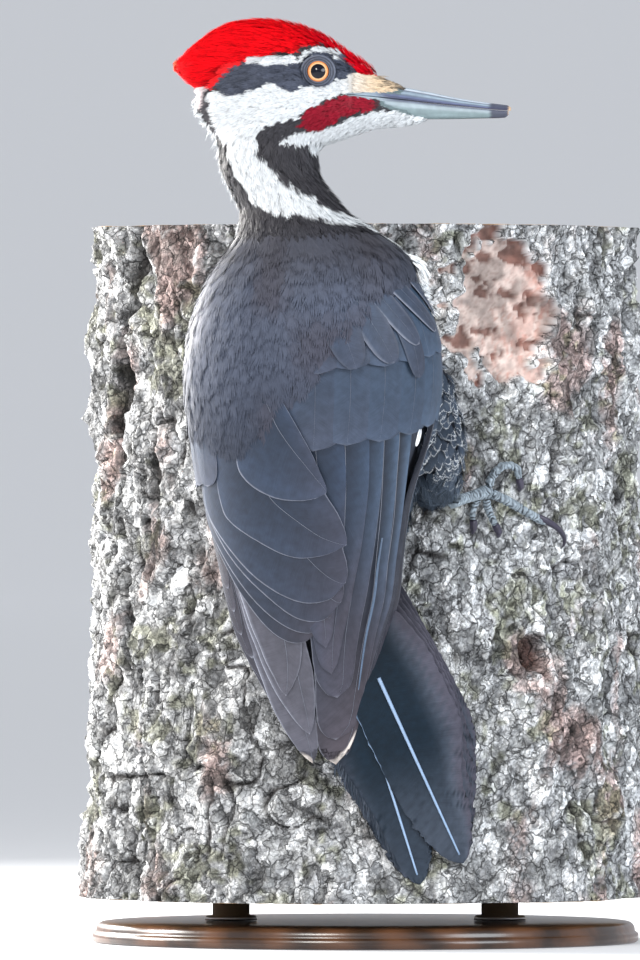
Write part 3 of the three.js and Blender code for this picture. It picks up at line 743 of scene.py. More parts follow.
def set_eye_socket(points, side):
    """Sinks the skin round an eye, so that the ball sits in a shallow ring."""
    centre = np.array([EYE["x"], HEAD_Y + side * EYE["spread"], EYE["z"]])
    rel = points - centre
    near = np.hypot(rel[:, 0], rel[:, 2])
    same = rel[:, 1] * side > -4
    pull = (1 - smooth(near, 5.5, 9.5)) * same
    points = points.copy()
    points[:, 1] -= side * 1.6 * pull
    return points


# ---------------------------------------------------------------- coat
class Coat:
    """The skin's surface, as the tufts read it."""

    def __init__(self, piece):
        mesh = piece.data
        mesh.calc_loop_triangles()
        self.tris = np.empty(len(mesh.loop_triangles) * 3, dtype=np.int32)
        mesh.loop_triangles.foreach_get("vertices", self.tris)
        self.tris = self.tris.reshape(-1, 3)
        self.points = points_of(mesh)
        self.normals = normals_of(mesh)
        self.tree = BVHTree.FromPolygons(self.points.tolist(), self.tris.tolist())
        self.face_normals = unit(self.normals[self.tris].sum(axis=1))
        a, b, c = (self.points[self.tris[:, k]] for k in range(3))
        self.areas = np.linalg.norm(np.cross(b - a, c - a), axis=1) / 2
        self.middles = (a + b + c) / 3

    def nearest(self, points):
        """The nearest place on the skin and its smooth normal, for each point."""
        places = np.empty_like(points)
        faces = np.empty(len(points), dtype=np.int64)
        find = self.tree.find_nearest
        for k, p in enumerate(points.tolist()):
            spot, _normal, index, _distance = find(p)
            places[k] = spot
            faces[k] = index
        return places, self.face_normals[faces]

    def scatter(self, rng, chosen, spacing):
        """Roots spread evenly over the chosen faces, about spacing apart."""
        weights = np.where(chosen, self.areas, 0)
        count = int(weights.sum() / spacing**2 * 5) + 10
        faces = rng.choice(len(weights), count, p=weights / weights.sum())
        u, v = rng.random((2, count))
        over = u + v > 1
        u[over], v[over] = 1 - u[over], 1 - v[over]
        a, b, c = (self.points[self.tris[faces, k]] for k in range(3))
        places = a + (b - a) * u[:, None] + (c - a) * v[:, None]
        cells = np.floor(places / (spacing * 1.08)).astype(np.int64)
        _keys, first = np.unique(cells, axis=0, return_index=True)
        return places[np.sort(first)]


def lie(points, normals):
    """The way the coat lies at each point."""
    x, _y, z = points.T
    n = len(points)
    down = np.tile([0.0, 0.0, -1.0], (n, 1))
    down[:, 0] += 0.10 * np.sign(x + 25) * smooth(np.abs(x + 25), 6, 40)
    neck = np.tile([0.36, 0.0, -0.93], (n, 1))
    head = np.tile([-1.0, 0.0, -0.18], (n, 1))
    head[:, 2] -= 0.5 * smooth(-z, -404, -384)
    crest = np.tile([-1.0, 0.0, 0.10], (n, 1))
    crest[:, 2] -= 0.35 * smooth(-x, 62, 90) * smooth(z, 416, 436)
    way = mix(down, neck, smooth(z, 326, 352)[:, None])
    way = mix(way, head, smooth(z, 372, 396)[:, None])
    flat, _blank = marked_side(points)
    on_crest = inside(flat, CREST_AREA) & (z > CREST_FOOT)
    way[on_crest] = crest[on_crest]
    nasal = (flat[:, 0] > 15) & (z > CREST_FOOT - 2) & ~on_crest
    way[nasal] = [1.0, 0.0, -0.12]
    way = way - normals * np.sum(way * normals, axis=1, keepdims=True)
    return unit(way)


def unwrap(points):
    """Each place on an unwrap of the skin: round it and up it for the body, round and along for the head."""
    x, y, z = points.T
    cx, cy, _width, _reach = read_table(BODY, z)
    on_head = z > 384
    turn = np.where(on_head, np.arctan2(z - 404, y - HEAD_Y), np.arctan2(x - cx, -(y - cy)))
    along = np.where(on_head, 0.98 - (x + 95) / 130 * 0.36, (z - 150) / 240 * 0.58)
    return np.stack([0.5 + turn / (2 * math.pi) * 0.96, 0.01 + along], axis=1)


BARB_ROWS = np.array([0.0, 0.42, 0.78, 1.0])
BARRED_ROWS = np.array([0.0, 0.42, 0.86, 0.89, 1.0])  # with a step where a white tip starts
PATCH = 0.003  # size of a tuft's place on the unwrap


TUFT_STEPS = 3  # stretches of skin that a tuft's shaft follows


def follow_skin(coat, roots, normals, way, length):
    """Shafts laid along the skin from their roots: the places, the skin's normals and the ways they head."""
    spine, ups, ways = [roots], [normals], [way]
    place, heading = roots, way
    for _step in range(TUFT_STEPS):
        place, up = coat.nearest(place + heading * (length / TUFT_STEPS)[:, None])
        heading = unit(heading - up * np.sum(heading * up, axis=1, keepdims=True))
        spine.append(place)
        ups.append(up)
        ways.append(heading)
    return (np.stack(v, axis=1) for v in (spine, ups, ways))


def barb_faces(count, rows):
    """Quads and tips of a number of barbs, each a strip of rows that ends in one point."""
    base = (np.arange(count) * (2 * rows - 1))[:, None]
    quads = [base + np.array([r, r + rows - 1, r + rows, r + 1]) for r in range(rows - 2)]
    return [np.concatenate(quads), base + np.array([rows - 2, 2 * rows - 3, 2 * rows - 2])]


def tuft_tints(rng, shown, barbs, by_row, tint, rim, root_shade, vary):
    """Colours of each barb's points: the tuft's own, darker at the root, and white at a barred tip."""
    count = len(shown)
    colour = marking(shown) if tint is None else tint(shown, rng)
    colour = colour * rng.uniform(1 - vary, 1 + vary, (count, 1))
    fade = mix(root_shade, 1.08, by_row)[None, None, :, None]
    each = rng.uniform(1 - vary, 1 + vary, (count, barbs, 1, 1))
    colours = colour[:, None, None, :] * fade * each
    if rim is not None:
        worn = smooth(by_row, 0.865, 0.885)[None, None, :, None] * rim(shown, rng)[:, None, None, None]
        colours = mix(colours, WHITE, worn)
    return colours.reshape(-1, 3)


def tuft_map(roots, q, by_row):
    """A small patch of the unwrap for each tuft, with its barbs side by side."""
    shape = (len(roots), q.shape[1], len(by_row), 1)
    du = np.broadcast_to((q * PATCH / 2.4)[..., None], shape)
    dv = np.broadcast_to(((by_row - 0.5) * PATCH)[None, None, :, None], shape)
    return (unwrap(roots)[:, None, None, :] + np.concatenate([du, dv], axis=-1)).reshape(-1, 2)


def grow(coat, rng, name, region, spacing, length, width, lift, barbs, barb=0.5, look=COAT_LOOK,
         slot="body_feathers", tint=None, loose=0.25, spread=0.0, root_shade=0.62, vary=0.12, rim=None,
         levels=BARB_ROWS, frayed=0.16, turned=0.6, flat=0.12):
    """A piece of coat: each tuft is a fan of thin barbs on a shaft that follows the skin."""
    roots = coat.scatter(rng, region, spacing)
    count = len(roots)
    length = (length(roots) if callable(length) else length) * rng.uniform(0.85, 1.15, count)
    width = width * rng.uniform(0.85, 1.15, count)
    lift = lift * rng.uniform(0.8, 1.15, count)
    _spot, normals = coat.nearest(roots)
    way = lie(roots, normals)
    twist = rng.normal(0, 0.12 + spread, count)[:, None]
    way = unit(way + np.cross(normals, way) * twist)
    spine, ups, ways = follow_skin(coat, roots, normals, way, length)

    q = np.linspace(-1, 1, barbs)[None, :, None] + rng.normal(0, 0.35 / barbs, (count, barbs, 1))
    start = rng.uniform(0.0, 0.3, (count, barbs, 1))
    end = 1 - 0.32 * np.abs(q) ** 1.6 - rng.uniform(0, frayed, (count, barbs, 1))
    v = levels[None, None, :]
    s = start + (end - start) * v
    spot = np.clip(s * TUFT_STEPS, 0, TUFT_STEPS - 1e-6)
    index = spot.astype(int)
    part = (spot - index)[..., None]
    tuft = np.arange(count)[:, None, None]
    centre, up, ahead = (mix(v[tuft, index], v[tuft, index + 1], part) for v in (spine, ups, ways))
    side = np.cross(up, ahead)
    aside = q * v**0.75 * width[:, None, None] / 2
    wild = rng.normal(0, loose, (count, barbs, 1)) * v**2
    rise = lift[:, None, None] * (mix(flat, 1.0, s**0.8) + wild * 0.5)
    rise = rise - (aside**2) * 0.03
    line = centre + side * (aside + wild * 0.6)[..., None] + up * rise[..., None]
    half = barb * (1 - 0.55 * v) * rng.uniform(0.8, 1.2, (count, barbs, 1)) / 2
    left = line - side * half[..., None]
    roll = half * rng.uniform(-turned, turned, (count, barbs, 1))
    right = line + side * half[..., None] + up * roll[..., None]
    strip = np.concatenate([left[:, :, :-1], right[:, :, :-1], line[:, :, -1:]], axis=2)
    by_row = np.concatenate([levels[:-1], levels[:-1], [1.0]])
    colours = tuft_tints(rng, spine[:, 2], barbs, by_row, tint, rim, root_shade, vary)
    uv = tuft_map(roots, q, by_row)
    faces = barb_faces(count * barbs, len(levels))
    return own(build_mesh(name, strip.reshape(-1, 3), faces, colours, {"OFBake": uv}, look))


def coat_regions(coat):
    """Which faces of the skin each piece of coat grows on."""
    x, y, z = coat.middles.T
    cx, cy, _width, reach = read_table(BODY, z)
    back = -(y - cy) / reach
    turn = np.degrees(np.arctan2(x - cx, -(y - cy)))
    flat, _blank = marked_side(coat.middles)
    on_crest = inside(flat, CREST_AREA) & (z > CREST_FOOT - 2)
    eye_gap = np.hypot(x - EYE["x"], z - EYE["z"]) > 7.6
    head = (z > HEAD_FOOT) & ~on_crest & eye_gap & (x < 36) & ~inside(flat, BILL_BASE)
    edge = np.interp(x, *np.array(MANTLE_EDGE).T) + 9 * smooth(-x, -12, 5)
    body = z <= MANTLE_TOP
    under_shoulder = (turn > 89) & (z > 302) & (z < 337) & (x > 0)
    low_flank = (z <= 300) & (z > 196) & ((turn > 94) & (turn < 130) | (turn < -108) & (turn > -130))
    thighs = (back <= -0.25) & (z < 262) & (z > 196) & (np.abs(x + 12) > 36)
    flank = low_flank | thighs
    ragged = value_noise(coat.middles / 4.0, 17)
    wedge = 90 + 20 * smooth(z, 304, 332) + 7 * ragged
    return {
        "coat_face": head & (x > -50),
        "coat_hindhead": head & (x <= -50),
        "coat_crest": on_crest,
        "coat_neck": ~body & (z <= HEAD_FOOT),
        "coat_mantle": body & (back > -0.25) & (z > edge) & ~under_shoulder,
        "coat_belly": body & (back <= -0.25) & (z > 165) & ~flank,
        "coat_flanks": flank,
        "coat_thigh": (back <= -0.1) & (z < 228) & (z > 198) & (np.abs(x + 14) > 32),
        "coat_nape_fringe": (z > 346) & (z < 404) & (turn < -80) & (turn > -108) & (x < -60),
        "coat_shoulder_fluff": (z > 305 + 3 * ragged) & (z < 328.5 + ragged) & (turn > 86) & (turn < wedge),
    }


def make_coat(coat):
    """All the pieces of coat, in the order in which their tufts are drawn."""
    rng = np.random.default_rng(21)
    regions = coat_regions(coat)
    for name, form in COAT_PIECES.items():
        grow(coat, rng, name, regions[name], **form)


def flank_tint(points, rng):
    """Dark slate under the white bars, greyer in the loose feathers of the thighs."""
    tone = mix(FLANK_SOFT, FLANK_DARK, smooth(points[:, 2], 212, 240)[:, None])
    return tone * rng.uniform(0.75, 1.25, (len(points), 1))


def flank_rim(points, rng):
    """How white the edge of each flank feather is."""
    return smooth(points[:, 2], 214, 228) * np.clip(rng.normal(0.75, 0.4, len(points)), 0, 1)


# White painted brighter than the other white, as painted light on the lit shoulder.
def bright_fluff(points, rng):
    return np.tile(WHITE * 1.3, (len(points), 1)) * rng.uniform(0.92, 1.0, (len(points), 1))


def white_fluff(points, rng):
    return np.tile(WHITE, (len(points), 1)) * rng.uniform(0.9, 1.0, (len(points), 1))


def crest_length(roots):
    """The crest's feathers get longer towards the nape."""
    return 7 + 10 * smooth(-roots[:, 0], 20, 60)


# Each piece of coat: how far apart its tufts stand, a tuft's length, width and height over the skin, its
# count of barbs and their width, how loose and spread they are, how dark its root and how uneven its colour.
COAT_PIECES = {
    "coat_face": {
        "spacing": 1.05, "length": 4.4, "width": 1.9, "lift": 1.25, "barbs": 5, "barb": 0.4, "loose": 0.1,
        "root_shade": 0.8, "vary": 0.07,
    },
    "coat_hindhead": {
        "spacing": 1.5, "length": 6.5, "width": 3.2, "lift": 1.9, "barbs": 6, "barb": 0.45, "loose": 0.12,
        "root_shade": 0.8, "vary": 0.06,
    },
    "coat_crest": {
        "spacing": 1.4, "length": crest_length, "width": 2.6, "lift": 3.2, "barbs": 7, "barb": 0.4,
        "loose": 0.16, "root_shade": 0.42, "vary": 0.16, "look": CREST_LOOK, "slot": "crest_feathers",
    },
    "coat_neck": {
        "spacing": 1.9, "length": 9, "width": 4.4, "lift": 2.8, "barbs": 8, "barb": 0.5, "loose": 0.14,
        "root_shade": 0.78, "vary": 0.07,
    },
    "coat_mantle": {
        "spacing": 2.6, "length": 15, "width": 9, "lift": 4.3, "barbs": 13, "barb": 0.95, "loose": 0.03,
        "spread": 0.04, "root_shade": 0.97, "vary": 0.02, "turned": 0.1, "flat": 0.45,
    },
    "coat_belly": {"spacing": 4.2, "length": 12, "width": 9, "lift": 4.2, "barbs": 9, "barb": 0.8},
    "coat_flanks": {
        "spacing": 3.1, "length": 9.0, "width": 4.8, "lift": 3.6, "barbs": 13, "barb": 0.55, "loose": 0.06,
        "spread": 0.26, "vary": 0.1, "turned": 0.3, "frayed": 0.05, "levels": BARRED_ROWS,
        "tint": flank_tint, "rim": flank_rim,
    },
    "coat_thigh": {
        "spacing": 2.4, "length": 14, "width": 4.0, "lift": 5.0, "barbs": 7, "barb": 0.45, "loose": 0.4,
        "spread": 0.2, "tint": flank_tint,
    },
    "coat_nape_fringe": {
        "spacing": 2.2, "length": 6.5, "width": 2.2, "lift": 3.6, "barbs": 5, "barb": 0.34, "loose": 0.5,
        "spread": 0.3, "root_shade": 0.9, "tint": white_fluff,
    },
    "coat_shoulder_fluff": {
        "spacing": 1.3, "length": 9, "width": 4.6, "lift": 9.0, "barbs": 9, "barb": 0.6, "loose": 0.12,
        "spread": 0.08, "root_shade": 1.0, "turned": 3.5, "tint": bright_fluff,
    },
}


# ---------------------------------------------------------------- vanes
RIM = 0.965  # where a vane's pale rim starts, from its shaft at 0 to its edge at 1
SHAFT_REACH = 0.97  # where a shaft ends, from the feather's root at 0 to its tip at 1


def make_vanes(name, feathers, place, rows, columns, thickness, look, nodes, seed, tints):
    """One piece of many closed feather vanes. place(feather, along, across, lift) gives points and widths."""
    rng = np.random.default_rng(seed)
    t = (1 - np.cos(np.linspace(0, math.pi, rows))) / 2
    t = mix(t, np.linspace(0, 1, rows), 0.5)
    u = np.concatenate([[-1], np.linspace(-RIM, RIM, columns - 2), [1]])
    along, across = np.meshgrid(t, u, indexing="ij")
    all_points, all_faces, all_tints, barbs_map, bake_map = [], [], [], [], []
    cells = math.ceil(math.sqrt(len(feathers)))
    size, base = rows * columns, 0
    for k, feather in enumerate(feathers):
        worn = feather.get("ragged", 0.0) * (0.15 + 0.85 * smooth(along, 0.72, 1.0)) * np.abs(across) ** 3
        ragged = rng.normal(0, 1, (rows, columns)) * worn
        if feather.get("torn"):
            ragged = -np.abs(ragged)
        top, width = place(feather, along, across * (1 + ragged), 0.0)
        thin = thickness * (1 - 0.5 * np.abs(across))
        under, _width = place(feather, along, across * (1 + ragged), -thin)
        all_points += [top.reshape(-1, 3), under.reshape(-1, 3)]
        all_faces += [grid_quads(rows, columns, base, True), grid_quads(rows, columns, base + size)]
        rim = grid_rim(rows, columns) + base
        following = np.roll(rim, -1)
        all_faces.append(np.stack([rim, following, following + size, rim + size], axis=1))
        tint = tints(feather, along, across, rng).reshape(-1, 3)
        # The underside gets a darker copy of the tint, as painted shade.
        all_tints += [tint, tint * 0.8]
        reach = feather["length"] * along + np.abs(across) * width * -0.7
        barbs = np.stack([across * width, reach], axis=-1).reshape(-1, 2)
        barbs_map += [barbs + k * 7.3, barbs + k * 7.3 + 3]
        # A cell of the map for each feather, with its upper face on the left and its underside on the right.
        cell = np.array([k % cells, k // cells]) / cells
        spot = np.stack([across * 0.5 + 0.5, along], axis=-1).reshape(-1, 2)
        spot = cell + (spot * 0.44 + 0.02) / cells * np.array([1, 2.1])
        bake_map += [spot, spot + np.array([0.5 / cells, 0])]
        base += 2 * size
    piece = build_mesh(
        name, np.concatenate(all_points), np.concatenate(all_faces), np.concatenate(all_tints),
        {"OFBake": np.concatenate(bake_map), "Barbs": np.concatenate(barbs_map)}, look,
    )
    return own(piece, nodes)


def tube(centre, across, out, size, around):
    """Rings of points round a line, from the two directions across it."""
    turn = np.arange(around) / around * 2 * math.pi
    ring = across[:, None] * np.cos(turn)[None, :, None] + out[:, None] * np.sin(turn)[None, :, None]
    return (centre[:, None] + ring * size[:, None, None]).reshape(-1, 3)


def make_shafts(name, feathers, place, rows, radius, tint, start=0.0):
    """The raised shafts of feathers, as closed tapering rods half sunk in their vanes."""
    around = 6
    t = np.linspace(start, SHAFT_REACH, rows)
    points, faces, tints = [], [], []
    base = 0
    for feather in feathers:
        centre, _width = place(feather, t[:, None], np.zeros((rows, 1)), 0.15)
        centre = centre[:, 0]
        side, _width = place(feather, t[:, None], np.full((rows, 1), 0.12), 0.15)
        across = unit(side[:, 0] - centre)
        run = unit(np.gradient(centre, axis=0))
        out = unit(np.cross(across, run))
        size = feather.get("shaft", 1.0) * radius * (1 - feather.get("taper", 0.82) * t / SHAFT_REACH)
        points.append(tube(centre, across, out, size, around))
        faces.append(grid_quads(rows, around, base, wrap=True))
        ends = [base + np.arange(around)[::-1], base + (rows - 1) * around + np.arange(around)]
        faces += [np.array([[e[0], e[1], e[2], e[3]], [e[0], e[3], e[4], e[5]]]) for e in ends]
        shade = np.repeat(mix(0.8, 1.15, t)[:, None], around, axis=0).reshape(-1, 1)
        tints.append(np.broadcast_to(tint, (rows * around, 3)) * shade)
        base += rows * around
    points, faces, tints = np.concatenate(points), np.concatenate(faces), np.concatenate(tints)
    return own(build_mesh(name, points, faces, tints, None, SHAFT_LOOK))


# ---------------------------------------------------------------- wings
def wing_angle(x, z):
    """The angle round the folded wings of a place seen from behind, which runs on past their outline."""
    cx, _cy, width, _reach = read_table(WING_FORM, z)
    share = (x - cx) / width
    beyond = np.maximum(np.abs(share) - 0.995, 0)
    return np.degrees(np.arcsin(np.clip(share, -0.995, 0.995))) + np.degrees(beyond) * np.sign(share)


def as_edge(spots):
    """A feather's edge from its root to its tip, as a table of share of the length, angle and height."""
    spots = np.array(spots, dtype=float)
    runs = np.concatenate([[0], np.cumsum(np.hypot(*np.diff(spots, axis=0).T))])
    return np.column_stack([runs / runs[-1], wing_angle(spots[:, 0], spots[:, 1]), spots[:, 1]])


def per_degree(angle, z):
    """Millimetres round the wings' form for each degree there."""
    _x, _y, wide, deep = read_table(WING_FORM, z)
    rad = np.radians(angle)
    return np.radians(1) * np.hypot(wide * np.cos(rad), deep * np.sin(rad))


def lay_on_wing(feather, a, z, cup, along, lift):
    """Points at angles and heights of the wings' form, as deep as the feather lies and its edges bend in."""
    depth = feather["depth"] + cup
    depth = depth + feather["sink"] * (1 - along) - lift
    limit = read_table(WING_FORM, z)[3] - 0.6
    return round_form(WING_FORM, a, z, np.minimum(depth, limit), wing_squeeze(z))


OUTLINED_LENGTH = 70.0  # taken for every feather that is given by its edges, for the spacing of its barbs


def place_outlined(feather, along, across, lift):
    """Points on a feather that is given by its two edges, and its half width there."""
    left_a, left_z = read_table(feather["left"], along)
    right_a, right_z = read_table(feather["right"], along)
    shaft = feather["shaft_at"]
    share = np.where(across < 0, (1 + across) * shaft, shaft + across * (1 - shaft))
    a, z = mix(left_a, right_a, share), mix(left_z, right_z, share)
    width = np.hypot((right_a - left_a) * per_degree(a, z), right_z - left_z) / 2
    feather["length"] = OUTLINED_LENGTH
    cup = 0.35 * across**2 * np.minimum(width / 10, 1.3)
    return lay_on_wing(feather, a, z, cup, along, lift), width


def place_on_wing(feather, along, across, lift):
    """Points on a feather that is given by its spine and half widths, and its half width there."""
    if "left" in feather:
        return place_outlined(feather, along, across, lift)
    root, middle, tip = (np.array(spot, dtype=float) for spot in feather["spine"])
    t = along[..., None]
    spot = root * (1 - t) * (1 - 2 * t) + middle * 4 * t * (1 - t) + tip * t * (2 * t - 1)
    slope = root * (4 * t - 3) + middle * (4 - 8 * t) + tip * (4 * t - 1)
    a, z = spot[..., 0], spot[..., 1]
    scale = per_degree(a, z)
    run_s, run_z = slope[..., 0] * scale, slope[..., 1]
    speed = np.hypot(run_s, run_z)
    feather["length"] = float(np.mean(speed))
    run_s, run_z = run_s / speed, run_z / speed
    shape = np.minimum(0.55 + 1.5 * along, 1) * np.maximum(1 - along ** feather["point"], 0.0) ** 0.5
    width = feather["width"] * shape + 0.12
    s = across * width
    sweep = -np.abs(across) ** 2 * width * 0.05
    a = a + (s * -run_z + sweep * run_s) / scale
    z = z + s * run_s + sweep * run_z
    cup = 0.3 * across**2 * (width / 10)
    return lay_on_wing(feather, a, z, cup, along, lift), width


def wing_tint(feather, along, across, rng):
    """Slate vanes, browner towards their tips, with painted shade at the root, the middle and inside the edges,
    a painted bluish highlight on some webs and a fine painted highlight along the edge.
    """
    tone = feather.get("tint", FLIGHT) * rng.uniform(0.94, 1.06)
    colour = np.broadcast_to(tone, along.shape + (3,)).copy()
    # Painted bluish highlight on the outer web, fading towards the tip.
    blue_sheen = feather.get("blue_sheen", 0.0) * smooth(across, -0.2, 0.9) * (1 - smooth(along, 0.45, 0.85))
    colour = mix(colour, FLIGHT_SHEEN, blue_sheen[..., None])
    warm = feather.get("warm", 0.0) * smooth(along + 0.2 * across, 0.35, 0.95)
    colour = mix(colour, WARM_GREY, warm[..., None])
    # Painted shade: darker at the root and the middle of the vane, lighter towards its edges and tip.
    far = np.maximum(np.abs(across) ** 2.4, smooth(along, 0.55, 1.0) ** 2)
    shade = mix(0.5 + 0.16 * smooth(along, 0, 0.7) + 0.46 * far, 0.82, feather.get("soft", 0.0))
    colour *= shade[..., None]
    outer = 0.25 * smooth(np.abs(across), 0.75, RIM) * smooth(along, 0.2, 0.5)
    colour = mix(colour, RIM_SHADE, outer[..., None])
    # Painted highlight along the edge, weaker on one side where the feather is lopsided.
    rim = np.maximum(smooth(np.abs(across), feather.get("rim", RIM), 1.0), smooth(along, 0.985, 1.0))
    rim = rim * feather.get("edge", 0.4) * smooth(along, 0.12, 0.35)
    rim = rim * np.where(across > 0, 1 - feather.get("lopsided", 0.0), 1.0)
    colour = mix(colour, EDGE_HIGHLIGHT, rim[..., None])
    if "pale" in feather:
        start, wedge = feather["pale"]
        start = start - abs(wedge) * smooth(across * np.sign(wedge), -0.6, 0.7)
        colour = mix(colour, FLIGHT_PALE, (smooth(along, start, start + 0.02) * 0.95)[..., None])
    return colour


# The left wing's tertials, secondaries and primaries, the uppermost first: the left and the right edge from
# the root down, as x and height seen from behind, the tip, the shaft's place between the edges, and where a
# pale tip starts and how slanted it is.
LEFT_FLIGHT = [
    ([(-62, 250), (-62, 236), (-60.4, 227.2), (-54, 220), (-43, 214.6), (-32, 213.4), (-24, 214.6)],
     [(-46, 272), (-40.9, 262), (-30, 243), (-25.6, 235), (-21.6, 226), (-19.2, 220.4), (-18.8, 218)],
     (-19.2, 217), 0.78, None),
    ([(-72, 238), (-71.5, 222), (-69.8, 213), (-66.7, 205.2), (-52.6, 194.8), (-35.3, 186.9), (-20, 187.8)],
     [(-30, 236), (-24, 226), (-18.9, 216.2), (-13.4, 207.6), (-10.9, 202), (-9.6, 197.8), (-9.1, 195)],
     (-9.4, 192.6), 0.55, None),
    ([(-78, 236), (-78.5, 222), (-76.8, 209), (-66.7, 191.9), (-51, 175.6), (-32.2, 165.8), (-18, 166.8)],
     [(-26, 222), (-18, 208), (-13, 198), (-10.6, 190), (-9.3, 185.4), (-8.8, 182), (-8.8, 178.4)],
     (-9.6, 175), 0.6, None),
    ([(-80, 228), (-78.5, 212), (-75, 203), (-66, 187.5), (-52.5, 172.6), (-34, 158.4), (-21, 157)],
     [(-30, 212), (-22, 200), (-15, 190), (-12, 182), (-10.8, 177), (-10.4, 173), (-10.6, 169.4)],
     (-11.8, 165.8), 0.62, None),
    ([(-79, 216), (-77, 203), (-72.5, 193), (-63, 177.5), (-50, 162.5), (-36, 152.8), (-25, 151.4)],
     [(-34, 200), (-26, 190), (-20, 182), (-17, 175), (-15.6, 170), (-15, 166), (-15.4, 162.2)],
     (-17, 158.4), 0.62, None),
    ([(-77, 206), (-74, 194), (-69, 184), (-59.5, 168), (-47, 153), (-37.4, 147), (-29, 147)],
     [(-38, 190), (-30, 182), (-24, 174), (-21, 168), (-19.8, 164), (-19.4, 160), (-19.8, 156.6)],
     (-21.5, 153.6), 0.6, None),
    ([(-66, 190), (-62, 172), (-57, 158), (-52, 146.5), (-48, 137), (-44, 129.6), (-41.2, 124.4)],
     [(-40, 178), (-34, 166), (-31.4, 154), (-30.8, 147.3), (-31, 139), (-32.4, 132.4), (-35.4, 125.6)],
     (-38.4, 121.2), 0.66, None),
    ([(-66, 184), (-60, 162), (-54, 146), (-49, 133.5), (-43.1, 122), (-37, 113), (-31.4, 106.2)],
     [(-38, 168), (-31, 154), (-27.6, 142), (-25.4, 133), (-24.5, 122), (-24.6, 113), (-25.6, 106.4)],
     (-27, 102.9), 0.7, None),
    ([(-70, 184), (-62, 160), (-56, 143), (-50, 128), (-44.4, 113.8), (-38, 102.6), (-31.4, 93.6)],
     [(-36, 160), (-29, 142), (-25.6, 126), (-24.3, 112), (-23.4, 104), (-23.2, 98), (-24, 92.4)],
     (-26, 89.2), 0.72, (0.982, -0.06)),
]
# The same for the right wing.
RIGHT_FLIGHT = [
    ([(-48, 250), (-46, 228), (-42, 205), (-36, 184), (-31, 166), (-27, 154), (-23.4, 147.4)],
     [(-12, 252), (-9.6, 236), (-9, 220), (-10, 200), (-12.4, 180), (-14.6, 162), (-16, 150.4)],
     (-19, 144), 0.62, None),
    ([(-36, 252), (-34, 226), (-31, 200), (-28, 176), (-26, 156), (-24, 143), (-21, 135)],
     [(1, 254), (2.6, 236), (2, 216), (-1, 194), (-6, 170), (-10.6, 150), (-13.4, 137)],
     (-16.4, 131.6), 0.66, None),
    ([(-26, 252), (-26, 222), (-26, 192), (-26.4, 164), (-26, 144), (-23.6, 129.2), (-18.9, 122.2)],
     [(9, 256), (9.8, 236), (8.4, 214), (5, 190), (0, 164), (-4, 144), (-7, 127)],
     (-13.6, 120.4), 0.7, None),
    ([(-20, 250), (-21, 220), (-22, 190), (-24, 156), (-24.4, 126), (-23, 108), (-19.6, 102.4)],
     [(17, 258), (17.6, 236), (15.8, 212), (12.4, 186), (7, 156), (-0.4, 124), (-5, 107)],
     (-14.2, 100.3), 0.76, None),
    ([(-16, 248), (-18, 216), (-20, 184), (-23, 148), (-24, 116), (-22.9, 97), (-19.6, 91.6)],
     [(24, 260), (23.6, 236), (20.6, 210), (16.4, 184), (9.6, 154), (0.6, 122), (-6.4, 98)],
     (-14.2, 88.5), 0.8, (0.968, 0.08)),
]
STACKS = {  # the outer primaries, first and last: angles and heights of root, middle and tip
    "left": [((92, 262), (84, 215), (66, 172)), ((80, 244), (59, 168), (46, 95))],
    "right": [((86, 262), (86, 200), (80, 158)), ((80, 246), (78, 172), (62, 93))],
}


def flight_feathers(table, first_depth, step, blue_sheen, edge):
    """The outlined feathers of a table; the right wing's carry the painted bluish highlight."""
    feathers = []
    for k, (left, right, tip, shaft_at, pale) in enumerate(table):
        late = k / (len(table) - 1)
        feather = {
            "left": as_edge(left + [tip]), "right": as_edge(right + [tip]), "shaft_at": shaft_at,
            "edge": edge, "blue_sheen": blue_sheen * late, "depth": first_depth + step * k, "sink": 0.9,
            "warm": mix(0.3, 0.75, late), "tint": mix(FLIGHT_TOP, FLIGHT, late), "ragged": 0.012,
            "shaft": mix(0.7, 1.0, late),
        }
        if pale:
            feather["pale"] = pale
        if blue_sheen and k < 2:
            feather.update(edge=0.06, warm=0.6)
        elif not blue_sheen and k > 5:
            feather.update(tint=TIP_GREY, edge=1.0, rim=0.945, lopsided=0.5, warm=0.1, soft=0.5)
        elif not blue_sheen and k > 1:
            feather["tint"] = feather["tint"] * 0.88
        feathers.append(feather)
    return feathers


def outer_primaries(side, count, first_depth, step):
    """The narrow stack of primaries along a folded wing's outer edge."""
    first, last = (np.array(ends, dtype=float) for ends in STACKS[side])
    turn = np.array([-1 if side == "left" else 1, 1])
    feathers = []
    for k in range(count):
        late = k / (count - 1)
        spine = mix(first, last, late) * turn
        feathers.append({
            "spine": spine, "width": 5.6, "point": 7, "depth": first_depth + step * k, "sink": 0.8,
            "edge": 0.9 if side == "left" else 0.4, "tint": FLIGHT, "warm": 0.3, "shaft": 0.6, "ragged": 0.01,
        })
    return feathers


def covert_rows(side, table):
    """Overlapping rows of coverts: each gives its span of angles, the heights of its tips, size and count."""
    rng = np.random.default_rng(19)
    feathers = []
    for row, (inner, outer, low_in, low_out, length, lean, width, count, depth, edge) in enumerate(table):
        for k in range(count):
            f = (k + 0.35 * (row % 2)) / max(count - 1, 1)
            a = side * mix(inner, outer, f) + rng.normal(0, 0.8)
            z = mix(low_in, low_out, f) + rng.normal(0, 0.7)
            back = side * lean
            # The right wing's coverts get more painted bluish highlight towards the outside.
            blue_sheen = max(side, 0) * f
            feathers.append({
                "spine": [(a - back, z + length), (a - back * 0.4, z + length * 0.5), (a, z)],
                "width": width, "point": 10, "depth": depth + 0.13 * k, "sink": 1.5, "edge": edge,
                "tint": mix(WING_COVERT, COVERT_SHEEN, blue_sheen) * rng.uniform(0.95, 1.05),
                "warm": 0.22 * (1 - 0.8 * blue_sheen), "ragged": 0.015, "shaft": 0.6, "soft": 0.45,
            })
    return feathers
